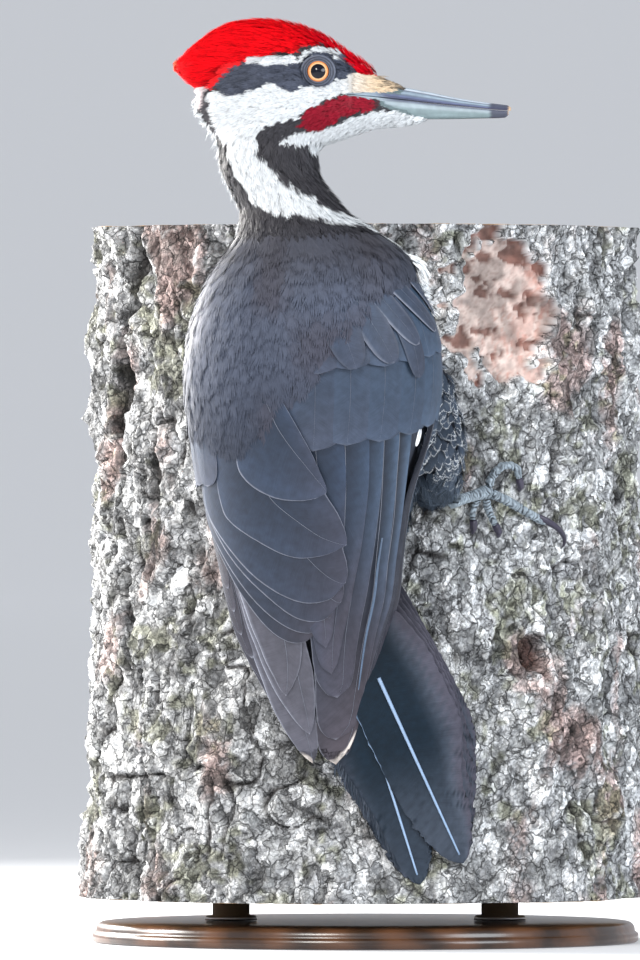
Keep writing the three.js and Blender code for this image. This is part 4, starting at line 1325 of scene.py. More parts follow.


# Rows of coverts: inner and outer angle, height of the tips there, length, lean, half width, count, depth,
# and how strong the painted highlight along their edges is.
LEFT_COVERTS = [
    (60, 104, 262, 262, 34, 3, 9, 5, 2.6, 0.2),
    (50, 106, 243, 240, 38, 2, 10, 5, 2.0, 0.3),
    (64, 108, 221, 219, 36, 0, 9.5, 5, 1.2, 0.55),
]
RIGHT_COVERTS = [
    (2, 92, 272, 286, 34, 4, 13.0, 7, 1.6, 0.1),
    (-6, 97, 235.5, 253, 48, 1, 15.0, 7, 2.3, 0.14),
]
# The slanting scapulars and lesser coverts of the right wing, seen from behind: root, middle and tip as x and
# height, half width, depth, and how strong the painted highlight along the edge is.
SLANTED = [
    ((-20, 308), (-12, 294), (-5, 275), 9.0, 0.5, 0.08),
    ((-8, 312), (3, 296), (13, 278), 8.4, 0.6, 0.32),
    ((-2, 320), (11, 304), (25, 287), 6.4, 0.7, 0.55),
    ((4, 326), (18, 311), (33, 293.5), 5.6, 0.8, 0.65),
    ((8, 331), (22, 318), (35, 301), 5.2, 0.9, 0.6),
    ((12, 308), (21, 290), (25, 271), 6.4, 1.0, 0.08),
]


def on_wing(spots):
    """Places seen from behind, x and height, as angle and height."""
    return [(float(wing_angle(x, z)), z) for x, z in spots]


def slanted_coverts(table):
    return [
        {
            "spine": on_wing([root, middle, tip]), "width": width, "point": 6, "depth": depth, "sink": 0.8,
            "edge": edge, "tint": WING_COVERT, "warm": 0.2, "ragged": 0.015, "shaft": 0.5, "soft": 0.85,
            "rim": 0.86, "lopsided": 0.7,
        }
        for root, middle, tip, width, depth, edge in table
    ]


# Each wing's feathers, how deep the uppermost lies and each next one under it, the depth of the outer stack,
# the way angles run, how strong the painted bluish highlight on its webs is, and how strong the painted
# highlight along their edges is.
WING_SIDES = {
    "left": (LEFT_FLIGHT, LEFT_COVERTS, 0.4, 0.75, 6.2, -1, 0.0, 0.5),
    "right": (RIGHT_FLIGHT, RIGHT_COVERTS, 3.4, 0.75, 5.2, 1, 0.85, 0.34),
}
# The white patch at the root of the primaries, where it shows at the wing's edge.
WHITE_SPOT = {
    "spine": [(60.5, 247), (60.5, 243.5), (60, 239)], "width": 1.5, "point": 8, "depth": 2.2, "sink": 0.6,
    "edge": 0.0, "tint": WHITE * 1.6, "shaft": 0.3,
}
# A narrow vane over the edge of an outer primary, painted blue-white as a highlight: one bright line down
# the right wing.
HIGHLIGHT_WEB = {
    "spine": on_wing([(8.5, 196), (2.6, 160), (-3.6, 124)]), "width": 0.6, "point": 2, "depth": 2.6,
    "sink": 0.9, "edge": 0.3, "tint": HIGHLIGHT_BLUE, "shaft": 0.4, "soft": 1.0,
}


def make_wings():
    for side, (flight, coverts, first, step, stack_depth, turn, blue_sheen, edge) in WING_SIDES.items():
        longs = flight_feathers(flight, first, step, blue_sheen, edge)
        stack = outer_primaries(side, 8, stack_depth, 0.3)
        cover = covert_rows(turn, coverts)
        if side == "right":
            longs.append(HIGHLIGHT_WEB)
            cover += slanted_coverts(SLANTED) + [WHITE_SPOT]
        groups = [  # label, feathers, rows, columns, thickness and seed
            ("coverts", cover, 22, 11, 0.3, 31),
            ("secondaries", longs, 56, 21, 0.35, 41),
            ("primaries", stack, 46, 9, 0.3, 51),
        ]
        for label, group, rows, columns, thickness, seed in groups:
            make_vanes(
                f"vanes_{side}_{label}", group, place_on_wing, rows, columns, thickness, VANE_LOOK,
                [f"wing_{side}_{label}"], seed + turn, wing_tint,
            )
        for label, group, radius in (("coverts", cover, 0.14), ("flight", longs + stack, 0.26)):
            make_shafts(f"shafts_{side}_{label}", group, place_on_wing, 24, radius, SHAFT_GREY)


# ---------------------------------------------------------------- bark
def bark_radius(angle, z):
    """Distance of the solid trunk's surface from the axis."""
    up = (z - TRUNK["bottom"]) / (TRUNK["top"] - TRUNK["bottom"])
    wander = angle + 0.12 * np.sin(z / 38) + 0.05 * np.sin(z / 13)
    plates = 1.5 * np.sin(9 * wander) + 1.1 * np.sin(17 * wander + z / 45)
    oval = 2.2 * np.cos(2 * angle + 0.7)
    return TRUNK["radius"] + TRUNK["taper"] * (0.5 - up) + 3 * np.exp(-up * 6) + plates + oval


def layered(noise, steps, sharp):
    """Noise cut into flat steps like flakes that lie on each other: height, level and nearness to an edge."""
    scaled = noise * steps
    level = np.floor(scaled)
    part = scaled - level
    return (level + smooth(part, 0, sharp)) / steps, level, 1 - smooth(part, 0, sharp * 1.6)


def bark_noise(ring, grain, tall, seed):
    """Noise stretched upwards, with finer noise in it."""
    out, weight = 0.0, 1.0
    for k in range(3):
        size = np.array([grain, grain, grain * tall]) / 2**k
        out = out + weight * value_noise(ring / size + 31 * k, seed + k)
        weight *= 0.5
    return out


# Where the bark has broken away: angle round the trunk in degrees, height, half width, half height.
SCARS = [(30, 304, 13, 42), (150, 120, 15, 50), (-120, 250, 12, 46)]
FISSURE = {"angle": -58, "lean": 5.5, "half": 3.4, "depth": 7}
HOLE = {"angle": 37.5, "height": 141, "half_width": 7, "half_height": 9.5, "depth": 9}
PER_DEGREE = 2.27  # millimetres of bark to one degree round the trunk


def bark_grain(ring):
    """The noise that shapes and colours the bark, at points round the trunk."""
    warp = np.stack([value_noise(ring / 17 + k * 50, 61 + k) for k in range(3)], axis=1)
    bent = ring + warp * np.array([5, 5, 8])
    broad, level, lip = layered(bark_noise(bent, 19, 1.7, 64), 4.6, 0.2)
    small, flake, small_lip = layered(bark_noise(bent, 6.5, 1.35, 68), 3.4, 0.3)
    return SimpleNamespace(
        ring=ring, bent=bent, broad=broad, lip=lip, small=small, small_lip=small_lip,
        rough=value_noise(ring / 1.9, 72), swell=value_noise(ring / np.array([45, 45, 70]), 73),
        tone=value_noise(bent / 11 + level[:, None] * 5.3 + flake[:, None] * 2.1, 78),
        ragged=0.34 * value_noise(ring / 9, 82) + 0.16 * value_noise(ring / 3.4, 83),
    )


def bark_grooves(grain, pressed):
    """Seams and finer cracks: 1 in their depths, and nearly closed where the bird presses."""
    seam = np.abs(value_noise(grain.bent / np.array([12, 12, 24]), 74))
    seam = 1 - smooth(seam, 0.015, 0.10)
    seam *= smooth(value_noise(grain.ring / 30, 75), -0.35, 0.2)
    crack = np.abs(value_noise(grain.bent / np.array([8, 8, 9]), 76))
    crack = (1 - smooth(crack, 0.01, 0.06)) * smooth(value_noise(grain.ring / 14, 77), 0.0, 0.4)
    kept = 1 - 0.85 * pressed.ravel()
    return seam * kept, crack * kept


def bark_tint(grain, seam, crack):
    """Greys with pink and lichened patches, paler on higher flakes; dark in the seams and cracks, partly their
    own colour and partly painted shade, with painted shade under the lips of the flakes and a painted highlight
    on the raised flakes.
    """
    # Paler with the random tone, and on higher flakes as painted light.
    pale = smooth(grain.tone + 0.25 * grain.rough + 0.35 * grain.small, -0.45, 0.6)
    warm = value_noise(grain.ring / np.array([24, 24, 46]), 79) + 0.4 * grain.broad + 0.2 * grain.tone
    lichen = value_noise(grain.ring / 21, 80) + 0.7 * value_noise(grain.ring / 4, 81)
    lips = np.maximum(grain.lip * 0.5, grain.small_lip * 0.42)
    shade = np.maximum(lips, np.maximum(seam * 0.94, crack * 0.85))
    # Painted highlight on the tops of the raised flakes.
    edge = smooth(grain.small + 0.4 * grain.rough, 0.55, 0.9) * (1 - seam)
    colour = mix(BARK_GREY, BARK_PALE, pale[:, None])
    colour = mix(colour, BARK_PINK, smooth(warm, 0.2, 0.62)[:, None] * 0.62)
    colour = mix(colour, BARK_LICHEN, smooth(lichen, 0.16, 0.6)[:, None] * 0.62)
    colour = mix(colour, BARK_DARK, shade[:, None])
    return mix(colour, BARK_HIGHLIGHT, edge[:, None] * 0.5)


def open_scar(scar, grain, degrees, up, height, colour):
    """Breaks the bark away over a ragged oval of bare wood, with cavities in it and a raised rim."""
    middle, level, half, tall = scar
    turn = (degrees - middle + 180) % 360 - 180
    off = np.hypot(turn / half, (up - level) / tall) + grain.ragged
    bare = 1 - smooth(off, 0.84, 0.92)
    rim = (1 - smooth(np.abs(off - 0.97), 0.0, 0.13)) * (1 - bare)
    height = mix(height, -1.2 + 1.0 * grain.broad + 0.6 * grain.small, bare) + rim * 0.5
    cavity = value_noise(grain.ring / np.array([8, 8, 6]), 86) + 0.4 * value_noise(grain.ring / 2.1, 89)
    cavity = smooth(cavity + smooth((up - level) / tall, 0.1, 0.8) * 0.75, 0.3, 0.5)
    height = height - 2.2 * cavity * bare
    wood = mix(BARK_PINK, BARK_CREAM, smooth(grain.swell + 0.5 * grain.tone, -0.5, 0.4)[:, None])
    # Red-brown in the cavities, partly the wood's own colour and partly painted shade, and painted shade under
    # the lips of small flakes.
    wood = mix(wood, BARK_RED, (0.8 * cavity + 0.3 * (1 - cavity) * grain.small_lip)[:, None])
    colour = mix(mix(colour, wood, bare[:, None]), BARK_PALE * 1.05, rim[:, None] * 0.5)
    return height, colour, bare


def split_bark(grain, degrees, up, height, colour):
    """Cuts the long fissure and the round hole into the bark, and darkens both with painted shade, with some
    red-brown wood in the hole.
    """
    line = FISSURE["angle"] + FISSURE["lean"] * np.sin(up / 52) + 2.4 * value_noise(grain.ring / 13, 84)
    half = FISSURE["half"] * (0.4 + smooth(up, 120, 330)) * (1 + 0.4 * value_noise(grain.ring / 8, 85))
    split = 1 - smooth(np.abs(degrees - line) * PER_DEGREE / half, 0.7, 1.3)
    height = height - split * FISSURE["depth"]
    colour = mix(colour, BARK_DARK * 0.7, split[:, None] * 0.95)
    aside = (degrees - HOLE["angle"]) * PER_DEGREE / HOLE["half_width"]
    hole = np.hypot(aside, (up - HOLE["height"]) / HOLE["half_height"])
    hole = 1 - smooth(hole + grain.ragged * 0.6, 0.75, 1.1)
    height = height - hole * HOLE["depth"]
    return height, mix(colour, mix(BARK_DARK, BARK_RED, 0.35), hole[:, None] * 0.9)


def bark_field(angle, z, pressed):
    """Height of the bark over the solid trunk, its colour and where the wood is bare."""
    radius = TRUNK["radius"]
    ring = np.stack([np.sin(angle) * radius, np.cos(angle) * radius, z], axis=-1).reshape(-1, 3)
    grain = bark_grain(ring)
    seam, crack = bark_grooves(grain, pressed)
    height = 1.8 + 1.4 * grain.swell + 3.2 * grain.broad + 2.6 * grain.small + 0.55 * grain.rough
    height = height - 2.6 * seam - 1.8 * crack
    colour = bark_tint(grain, seam, crack)

    degrees = np.degrees((angle.ravel() + math.pi) % (2 * math.pi) - math.pi)
    up = z.ravel()
    bare = np.zeros(len(ring))
    for scar in SCARS:
        height, colour, opened = open_scar(scar, grain, degrees, up, height, colour)
        bare = np.maximum(bare, opened)
    height, colour = split_bark(grain, degrees, up, height, colour)
    blotch = smooth(value_noise(grain.bent / 9, 87) + 0.5 * value_noise(grain.bent / 3.5, 88), -0.6, 0.3)
    # Painted light: the trunk is brighter towards +X and darker towards -X.
    side_light = 1 + 0.2 * np.sin(angle.ravel() - 0.1)
    light = side_light * (mix(0.5, 1.04, blotch) + 0.13 * grain.rough + 0.05 * grain.swell)
    colour = colour * light[:, None]
    return height.reshape(angle.shape), colour.reshape(angle.shape + (3,)), bare.reshape(angle.shape)


# Where the feet press on the bark: angle round the trunk in degrees and height.
FOOTHOLDS = [(30, 214), (-22, 220)]


def clear_of_bird(angle, z):
    """1 where the feet and the tail press on the bark, 0 away from them."""
    degrees = np.degrees((angle + math.pi) % (2 * math.pi) - math.pi)
    feet = [1 - smooth(np.hypot((degrees - a) * 2.2, z - up), 20, 36) for a, up in FOOTHOLDS]
    tail = (1 - smooth(np.abs(degrees - 12 - (90 - z) * 0.16), 20, 27)) * (1 - smooth(z, 110, 150))
    return np.maximum(np.maximum(*feet), tail)


def flake_cells(tree, vector, scale, gap, darkest):
    """Shader flakes: the shade of the gaps between cells, a random colour for each cell, and its lean."""
    edges = add(tree, "TexVoronoi", {"Scale": scale, "Vector": vector}, feature="DISTANCE_TO_EDGE")
    cells = add(tree, "TexVoronoi", {"Scale": scale, "Vector": vector})
    spread = {"From Max": gap, "To Min": darkest, "To Max": 1.0, "Value": edges.outputs["Distance"]}
    gaps = add(tree, "MapRange", spread).outputs["Result"]
    apart = add(tree, "SeparateColor", {"Color": cells.outputs["Color"]}).outputs
    return gaps, apart, tilt_of(tree, vector, cells)


def tilt_of(tree, vector, cells):
    """A height in metres that leans each shader cell its own way."""
    off = add(tree, "VectorMath", {0: vector, 1: cells.outputs["Position"]}, operation="SUBTRACT")
    lean = add(tree, "VectorMath", {0: cells.outputs["Color"], 1: (0.5, 0.5, 0.62)}, operation="SUBTRACT")
    both = {0: off.outputs["Vector"], 1: lean.outputs["Vector"]}
    return add(tree, "VectorMath", both, operation="DOT_PRODUCT").outputs["Value"]


def between(tree, value, low, high):
    """A number from 0 to 1 spread over low to high."""
    return add(tree, "MapRange", {"To Min": low, "To Max": high, "Value": value}).outputs["Result"]


def add_up(tree, first, second, share):
    """first times share plus second."""
    return add(tree, "Math", {0: first, 1: share, 2: second}, operation="MULTIPLY_ADD").outputs["Value"]


def bark_material():
    """Dry bark: the painted tint broken into small overlapping flakes of different greys."""
    material = tinted_material("bark", 0.9, grain=700, contrast=0.3, bump=0)
    tree = material.node_tree
    shader = tree.nodes["Principled BSDF"]
    place = object_place(tree)
    drift = noise_of(tree, place, 170, 3).outputs["Color"]
    bent = add(tree, "VectorMath", {0: drift, 1: (0.011, 0.011, 0.011), 2: place}, operation="MULTIPLY_ADD")
    tall = stretched(tree, bent.outputs["Vector"], (1, 1, 0.72))
    wide_gaps, wide, wide_tilt = flake_cells(tree, tall, 120, 0.06, 0.1)
    fine_gaps, fine, fine_tilt = flake_cells(tree, tall, 310, 0.07, 0.3)
    colour = colour_source(shader)
    wide_shade, fine_shade = between(tree, wide["Red"], 0.62, 1.4), between(tree, fine["Green"], 0.7, 1.3)
    for factor, amount in ((wide_shade, 1), (fine_shade, 1), (wide_gaps, 0.8), (fine_gaps, 0.6)):
        colour = shade_by(tree, colour, factor, amount)
    plug(tree, shader, {"Base Color": colour})
    steps = wide_gaps
    shares = [
        (wide["Red"], 0.9), (fine["Green"], 0.45), (fine_gaps, 0.3), (wide_tilt, 1100), (fine_tilt, 1000),
    ]
    for level, share in shares:
        steps = add_up(tree, level, steps, share)
    raise_by(tree, shader, steps, 1.0, 0.0012)
    return material


BARK_LOOK = bark_material()
BARE_LOOK = tinted_material("bare_wood", 0.85, grain=260, contrast=0.14, bump=0.5, bump_scale=520)


BARK_SLOT, CUT_SLOT, BARE_SLOT = range(3)  # the log's materials, in their order
CUT_RINGS = 14


def cut_end(row, outline, angle, level, base, upward):
    """A sawn end: points in low rings from the bark's edge, which is a row of the side, in to the heart."""
    around = len(angle)
    j = np.arange(around)
    after = (j + 1) % around
    wave = value_noise(np.stack([np.sin(angle) * 6, np.cos(angle) * 6, angle * 0 + row], axis=1), 67)
    points, quads = [], []
    outer = row * around
    for k in range(CUT_RINGS):
        r = (outline - 1.2 * (k == 0)) * (1 - max(k, 0.1) / CUT_RINGS) ** 0.9
        rise = (0.25 * np.sin(r / 2.1) + 0.2 * wave) * (1 if upward else -1)
        points.append(np.stack([np.sin(angle) * r, -np.cos(angle) * r, level + rise], axis=1))
        inner = base + k * around
        quads.append(np.stack([outer + j, outer + after, inner + after, inner + j], axis=1))
        outer = inner
    points.append(np.array([[0.0, 0.0, level]]))
    quads = np.concatenate(quads)
    fan = np.stack([outer + j, outer + after, np.full(around, base + CUT_RINGS * around)], axis=1)
    if not upward:
        quads, fan = quads[:, ::-1], fan[:, ::-1]
    return np.concatenate(points), quads, fan


def make_log():
    """The trunk: bark in relief round its side, and two sawn ends."""
    around, rows = 660, 320
    angle = np.arange(around) / around * 2 * math.pi
    z = np.linspace(TRUNK["bottom"], TRUNK["top"], rows)
    aa, zz = np.meshgrid(angle, z)
    near = clear_of_bird(aa, zz)
    height, colour, bare = bark_field(aa, zz, near)
    height = mix(height, np.minimum(height, 0.2), near)
    radius = bark_radius(aa, zz) + height
    side = np.stack([np.sin(aa) * radius, -np.cos(aa) * radius, zz], axis=-1)
    points, quads, tris = [side.reshape(-1, 3)], [grid_quads(rows, around, wrap=True)], []
    total = around * rows
    for row, upward in ((0, False), (rows - 1, True)):
        end, loops, fan = cut_end(row, radius[row], angle, z[row], total, upward)
        points.append(end)
        quads.append(loops)
        tris.append(fan)
        total += len(end)
    quads, tris = np.concatenate(quads), np.concatenate(tris)
    tints = np.tile(WOOD_CUT, (total, 1))
    tints[:around * rows] = colour.reshape(-1, 3)
    slots = np.full(len(quads) + len(tris), CUT_SLOT)
    slots[:around * (rows - 1)] = np.where(bare[:-1].ravel() > 0.5, BARE_SLOT, BARK_SLOT)
    cut = wood_material("cut_wood", WOOD_CUT, WOOD_CUT * 0.74, 62, True)
    piece = build_mesh(
        "log", np.concatenate(points), [quads, tris], tints, None, [BARK_LOOK, cut, BARE_LOOK], slots,
    )
    return own(piece, ["perch_trunk"])


# ---------------------------------------------------------------- tail
def place_on_tail(feather, along, across, lift):
    """Points on a tail feather, bowed down to rest on the bark, and its half width there."""
    fan, index, layer = TAIL[feather["side"]], feather["index"], feather["layer"]
    lead = fan.get("lead", (0, 0)) if index == 0 else (0, 0)
    angle = math.radians(fan["angle"] + fan["turn"] * index + lead[1])
    run = along * feather["length"]
    broad = TAIL["width"] - TAIL["narrower"] * index
    width = broad * np.minimum(0.45 + 2.6 * along, 1) * np.maximum(1 - along**8, 0.0) ** 0.6 + 0.2
    outward = 1 if feather["side"] == "right" else -1
    reach = TAIL["width"] - TAIL["narrower"] * (TAIL["per_side"] - 1)
    reach = (reach + (TAIL["per_side"] - 1 - index) * abs(fan["step"]) * 0.96 - abs(lead[0]) * 0.8) / broad
    spread = smooth(along, 0.1, 0.45) * (1 - smooth(along, 0.6, 0.82))
    s = across * width * np.where(across * outward > 0, mix(1.0, reach, spread), 1.0)
    sweep = -np.abs(across) ** 1.5 * width * 0.25
    x = fan["x"] + lead[0] + fan["step"] * index + (run + sweep) * math.sin(angle) + s * math.cos(angle)
    z = TAIL["root_z"] - (run + sweep) * math.cos(angle) + s * math.sin(angle)
    length = TAIL["right"]["length"]
    down = (TAIL["root_z"] - z) / math.cos(math.radians(20))
    left = (length - down) / (TAIL["right"]["shorter"] / 2)
    above = TAIL["rest"] + TAIL["layer"] * np.maximum(np.maximum(left, 0) + 1 - layer, 0)
    a = np.arcsin(np.clip(x / TRUNK["radius"], -1, 1))
    bark = -np.cos(a) * bark_radius(a, z) - above
    bow = 1 - (1 - clamp01(down / length)) ** 1.35
    y = mix(TAIL["root_y"] + TAIL["layer"] * layer, bark, bow)
    y = y - lift + 0.5 * across**2 * smooth(along, 0.1, 0.5)
    return np.stack([x, y, z], axis=-1), width


def tail_tint(feather, along, across, rng):
    """Blue-black inner webs, greyer outer ones with brownish margins, paler where the barbs fray."""
    outward = across if feather["side"] == "right" else -across
    out = np.abs(across)
    barb = np.sin(along * feather["length"] * 1.5 - out * 14 + rng.uniform(0, 9)) * 0.06
    shown = 1.0 if feather["side"] == "right" else 0.2
    pale = shown * 0.9 * smooth(outward, 0.36, 0.9) + (0.32 + 0.42 * shown) * smooth(along, 0.58, 0.95)
    colour = mix(TAIL_MID, TAIL_GREY, clamp01(pale)[..., None])
    colour = mix(colour, TAIL_OUTER, (smooth(outward + barb, 0.6, 0.97) * 0.85 * shown)[..., None])
    colour = colour * mix(0.5, 1.0, smooth(along, 0.16, 0.5))[..., None]
    slant = along * feather["length"] - out * 12
    spots = np.stack([slant / 1.5, outward * 0.8, 0 * out + feather["index"]], axis=-1)
    tears = value_noise(spots.reshape(-1, 3), 99).reshape(out.shape)
    tears = smooth(tears, 0.4, 0.6) * smooth(along, 0.55, 0.8) * smooth(out, 0.2, 0.6)
    colour = mix(colour, TAIL_MID * 0.7, (0.75 * tears)[..., None])
    # A painted highlight along the inner edge of the right middle feather.
    if feather["index"] == 0 and feather["side"] == "right":
        lit = smooth(-outward, 0.965, 1.0) * smooth(along, 0.45, 0.52) * (1 - smooth(along, 0.62, 0.7))
        colour = mix(colour, SHAFT_BLUE, (0.85 * lit)[..., None])
    return colour * (0.95 + barb)[..., None]


def make_frays(feather):
    """Loose barbs that stand out from the worn outer edge of a tail feather."""
    rng = np.random.default_rng(57)
    count = 150
    t = np.array([0.0, 0.4, 0.75, 1.0])[None]
    start = rng.uniform(0.42, 0.93, (count, 1))
    long = rng.uniform(7, 12, (count, 1)) * (1 - 0.4 * smooth(start, 0.8, 1.0))
    slope = np.radians(rng.normal(30, 6, (count, 1)))
    along = start + long * np.cos(slope) * t / feather["length"] * (1 + 0.25 * t)
    inner = -0.98 + 0.34 * smooth(start, 0.45, 0.9)
    across = inner - long * np.sin(slope) * (t - 0.18 * t**2) / 20
    half = rng.uniform(0.35, 0.7, (count, 1)) * (1 - 0.6 * t) / feather["length"]
    lift = rng.uniform(0.3, 1.2, (count, 1)) * np.ones_like(t)
    left, _width = place_on_tail(feather, np.minimum(along - half, 0.985), across, lift)
    right, _width = place_on_tail(feather, np.minimum(along + half, 0.99), across, lift - 0.15)
    strips = np.concatenate([left[:, :3], right[:, :3], right[:, 3:]], axis=1)
    tone = mix(TAIL_MID, TAIL_GREY, rng.uniform(0.1, 1.0, (count, 1)))[:, None]
    tints = tone * np.array([0.7, 1, 1.2, 0.7, 1, 1.2, 1.4])[None, :, None]
    points, faces = strips.reshape(-1, 3), barb_faces(count, t.shape[1])
    piece = build_mesh("tail_left_frays", points, faces, tints.reshape(-1, 3), None, COAT_LOOK)
    return own(piece)


def make_tail():
    """Each feather's vane and shaft, from the middle pair outwards, and the left one's loose barbs."""
    for side, sign in (("right", 1), ("left", -1)):
        fan = TAIL[side]
        for index in range(TAIL["per_side"]):
            feather = {
                "side": side, "index": index, "layer": 2 * index + (side == "left"),
                "length": fan["length"] - fan["shorter"] * index, "shaft": 1.7, "taper": 0.62,
                "ragged": 0.08 if sign > 0 else 0.2, "torn": sign < 0,
            }
            if sign < 0 and index == 0:
                make_frays(feather)
            make_vanes(
                f"vane_tail_{side}_{index + 1}", [feather], place_on_tail, 90, 21, 0.4, TAIL_LOOK,
                [f"tail_{side}_{index + 1}"], 81 + index * sign, tail_tint,
            )
            hidden = 0.38 if index == 0 and sign > 0 else 0.1
            make_shafts(
                f"shaft_tail_{side}_{index + 1}", [feather], place_on_tail, 40, 0.72, SHAFT_BLUE, hidden,
            )


# ---------------------------------------------------------------- bill, eyes and legs
# Half of each bill half's section: half width and height, as shares, from the middle to the cutting edge.
UPPER_SECTION = [
    (0.0, 1.0), (0.10, 0.985), (0.22, 0.93), (0.38, 0.82), (0.50, 0.735), (0.57, 0.72), (0.66, 0.66),
    (0.76, 0.52), (0.86, 0.36), (0.93, 0.22), (0.98, 0.11), (1.0, 0.05), (0.97, 0.0),
]
LOWER_SECTION = [
    (0.0, 1.0), (0.14, 0.985), (0.30, 0.93), (0.46, 0.83), (0.58, 0.71), (0.68, 0.58), (0.77, 0.44),
    (0.84, 0.32), (0.88, 0.25), (0.89, 0.19), (0.92, 0.13), (0.955, 0.06), (0.94, 0.0),
]
BILL_GAP = 0.16  # half the gap between the closed halves


def bill_tint(upper, edge, forward, streak):
    """The horn's colour, from its ridge at edge 0 to the cutting edge at 1, and darker towards its tip; the
    upper half has a painted highlight under its ridge and painted shade in the groove below it.
    """
    if upper:
        # Painted highlight on the slope under the ridge, and painted shade in the groove below it.
        light = smooth(edge, 0.02, 0.12) * (1 - smooth(edge, 0.2, 0.27))
        groove = smooth(edge, 0.22, 0.27) * (1 - smooth(edge, 0.3, 0.4))
        rim = smooth(edge, 0.5, 0.72) * 0.9 * smooth(forward, 22, 34)
        band = smooth(edge, 0.66, 0.74) * (1 - smooth(edge, 0.8, 0.88)) * smooth(forward, 26, 40)
        colour = mix(BILL_UPPER, BILL_PALE_AND_HIGHLIGHT, light[..., None])
        colour = mix(colour, BILL_EDGE, 0.6 * groove[..., None])
        colour = mix(colour, BILL_EDGE, rim[..., None])
        colour = mix(colour, BILL_BAND, (band * 0.45)[..., None])
    else:
        rim = smooth(edge, 0.82, 0.92) * 0.75 * smooth(forward, 24, 36)
        keel_shade = (1 - smooth(edge, 0.02, 0.22)) * smooth(forward, 44, 70) * 0.8
        colour = mix(BILL_LOWER, BILL_PALE_AND_HIGHLIGHT, (smooth(edge, 0.5, 0.7) * 0.35)[..., None])
        colour = mix(colour, BILL_EDGE, rim[..., None])
        colour = mix(colour, BILL_LOWER * 0.55, keel_shade[..., None])
    colour = mix(colour, BILL_TIP, smooth(forward + streak, 79.2, 81.6)[..., None] * 0.92)
    colour = mix(colour, BILL_WORN, smooth(forward + 0.5 * streak, 88.9, 90.0)[..., None] * 0.8)
    return colour * (1 + 0.16 * streak)[..., None]


def bill_half(name, node, section, upper):
    """One closed horn: ridged sections from the corner of the gape to the chisel tip."""
    rows = 110
    end = BILL_FORM[-1][0] - (0 if upper else 1.1)
    run = mix(BILL_FORM[0][0], end, np.linspace(0, 1, rows) ** 0.9)
    culmen, gape, keel, width = read_table(BILL_FORM, run)
    height = np.where(upper, culmen - gape, gape - keel) - BILL_GAP
    close = 1 - smooth(run, end - 1.6, end + 0.4) * 0.75
    half = np.array(section)
    share = np.concatenate([-half[::-1], half[1:] * [1, -1]]) * [1, -1]
    share[:, 1] = np.abs(share[:, 1])
    around = len(share)
    y = width[:, None] * share[:, 0] * close[:, None]
    rise = BILL_GAP + height[:, None] * share[:, 1] * mix(close, 1.0, 0.45)[:, None]
    u = gape[:, None] + (rise if upper else -rise)
    f = np.broadcast_to(run[:, None], y.shape)
    points = np.stack([f + EYE["x"], HEAD_Y + y, u + EYE["z"]], axis=-1).reshape(-1, 3)
    streak = value_noise(np.stack([f / 16, y * 1.1, u * 1.7], axis=-1).reshape(-1, 3), 91).reshape(f.shape)
    colour = bill_tint(upper, 1 - share[:, 1][None], f, streak)
    quads = grid_quads(rows, around, 0, not upper, wrap=True)
    caps = []
    for start, flip in ((0, upper), ((rows - 1) * around, not upper)):
        j = np.arange(1, around - 1)
        fan = start + np.stack([np.zeros(around - 2, dtype=int), j, j + 1], axis=1)
        caps.append(fan[:, ::-1] if flip else fan)
    piece = build_mesh(name, points, [quads, *caps], colour.reshape(-1, 3), None, BILL_LOOK)
    return own(piece, [node])


def make_bill():
    bill_half("bill_upper_horn", "bill_upper", UPPER_SECTION, True)
    bill_half("bill_lower_horn", "bill_lower", LOWER_SECTION, False)


def make_eye(side, name):
    """The ball with its amber ring and dark pupil, and the bare lids round it."""
    centre = np.array([EYE["x"], HEAD_Y + side * EYE["spread"], EYE["z"]])
    rows, around = 60, 72
    polar = np.linspace(0.0, math.pi, rows)[:, None]
    turn = np.linspace(0, 2 * math.pi, around, endpoint=False)[None]
    radius = EYE["radius"]
    off = np.sin(polar) * radius * np.ones_like(turn)
    bulge = 1 + 0.07 * (1 - smooth(off, 0, 4.4)) * (polar < 1)
    ball = np.stack([
        np.sin(polar) * np.cos(turn) * radius,
        side * np.cos(polar) * radius * bulge,
        np.sin(polar) * np.sin(turn) * radius,
    ], axis=-1) + centre
    front = polar < math.pi / 2
    spokes = 0.92 + 0.12 * np.sin(turn * 37 + 3 * np.sin(turn * 5)) * np.ones_like(polar)
    iris = mix(AMBER_INNER, AMBER, smooth(off, 3.5, 4.6)[..., None]) * spokes[..., None]
    tint = mix(PUPIL, iris, smooth(off, 3.36, 3.6)[..., None])
    tint = mix(tint, LID_DARK * 0.5, smooth(off, 4.72, 4.98)[..., None])
    tint = np.where(front[..., None], tint, LID_DARK)
    flip = side > 0
    piece = build_mesh(
        f"{name}_ball", ball.reshape(-1, 3), grid_quads(rows, around, 0, flip, wrap=True),
        tint.reshape(-1, 3), None, EYE_LOOK,
    )
    own(piece, [name])
    make_lids(side, name, centre)


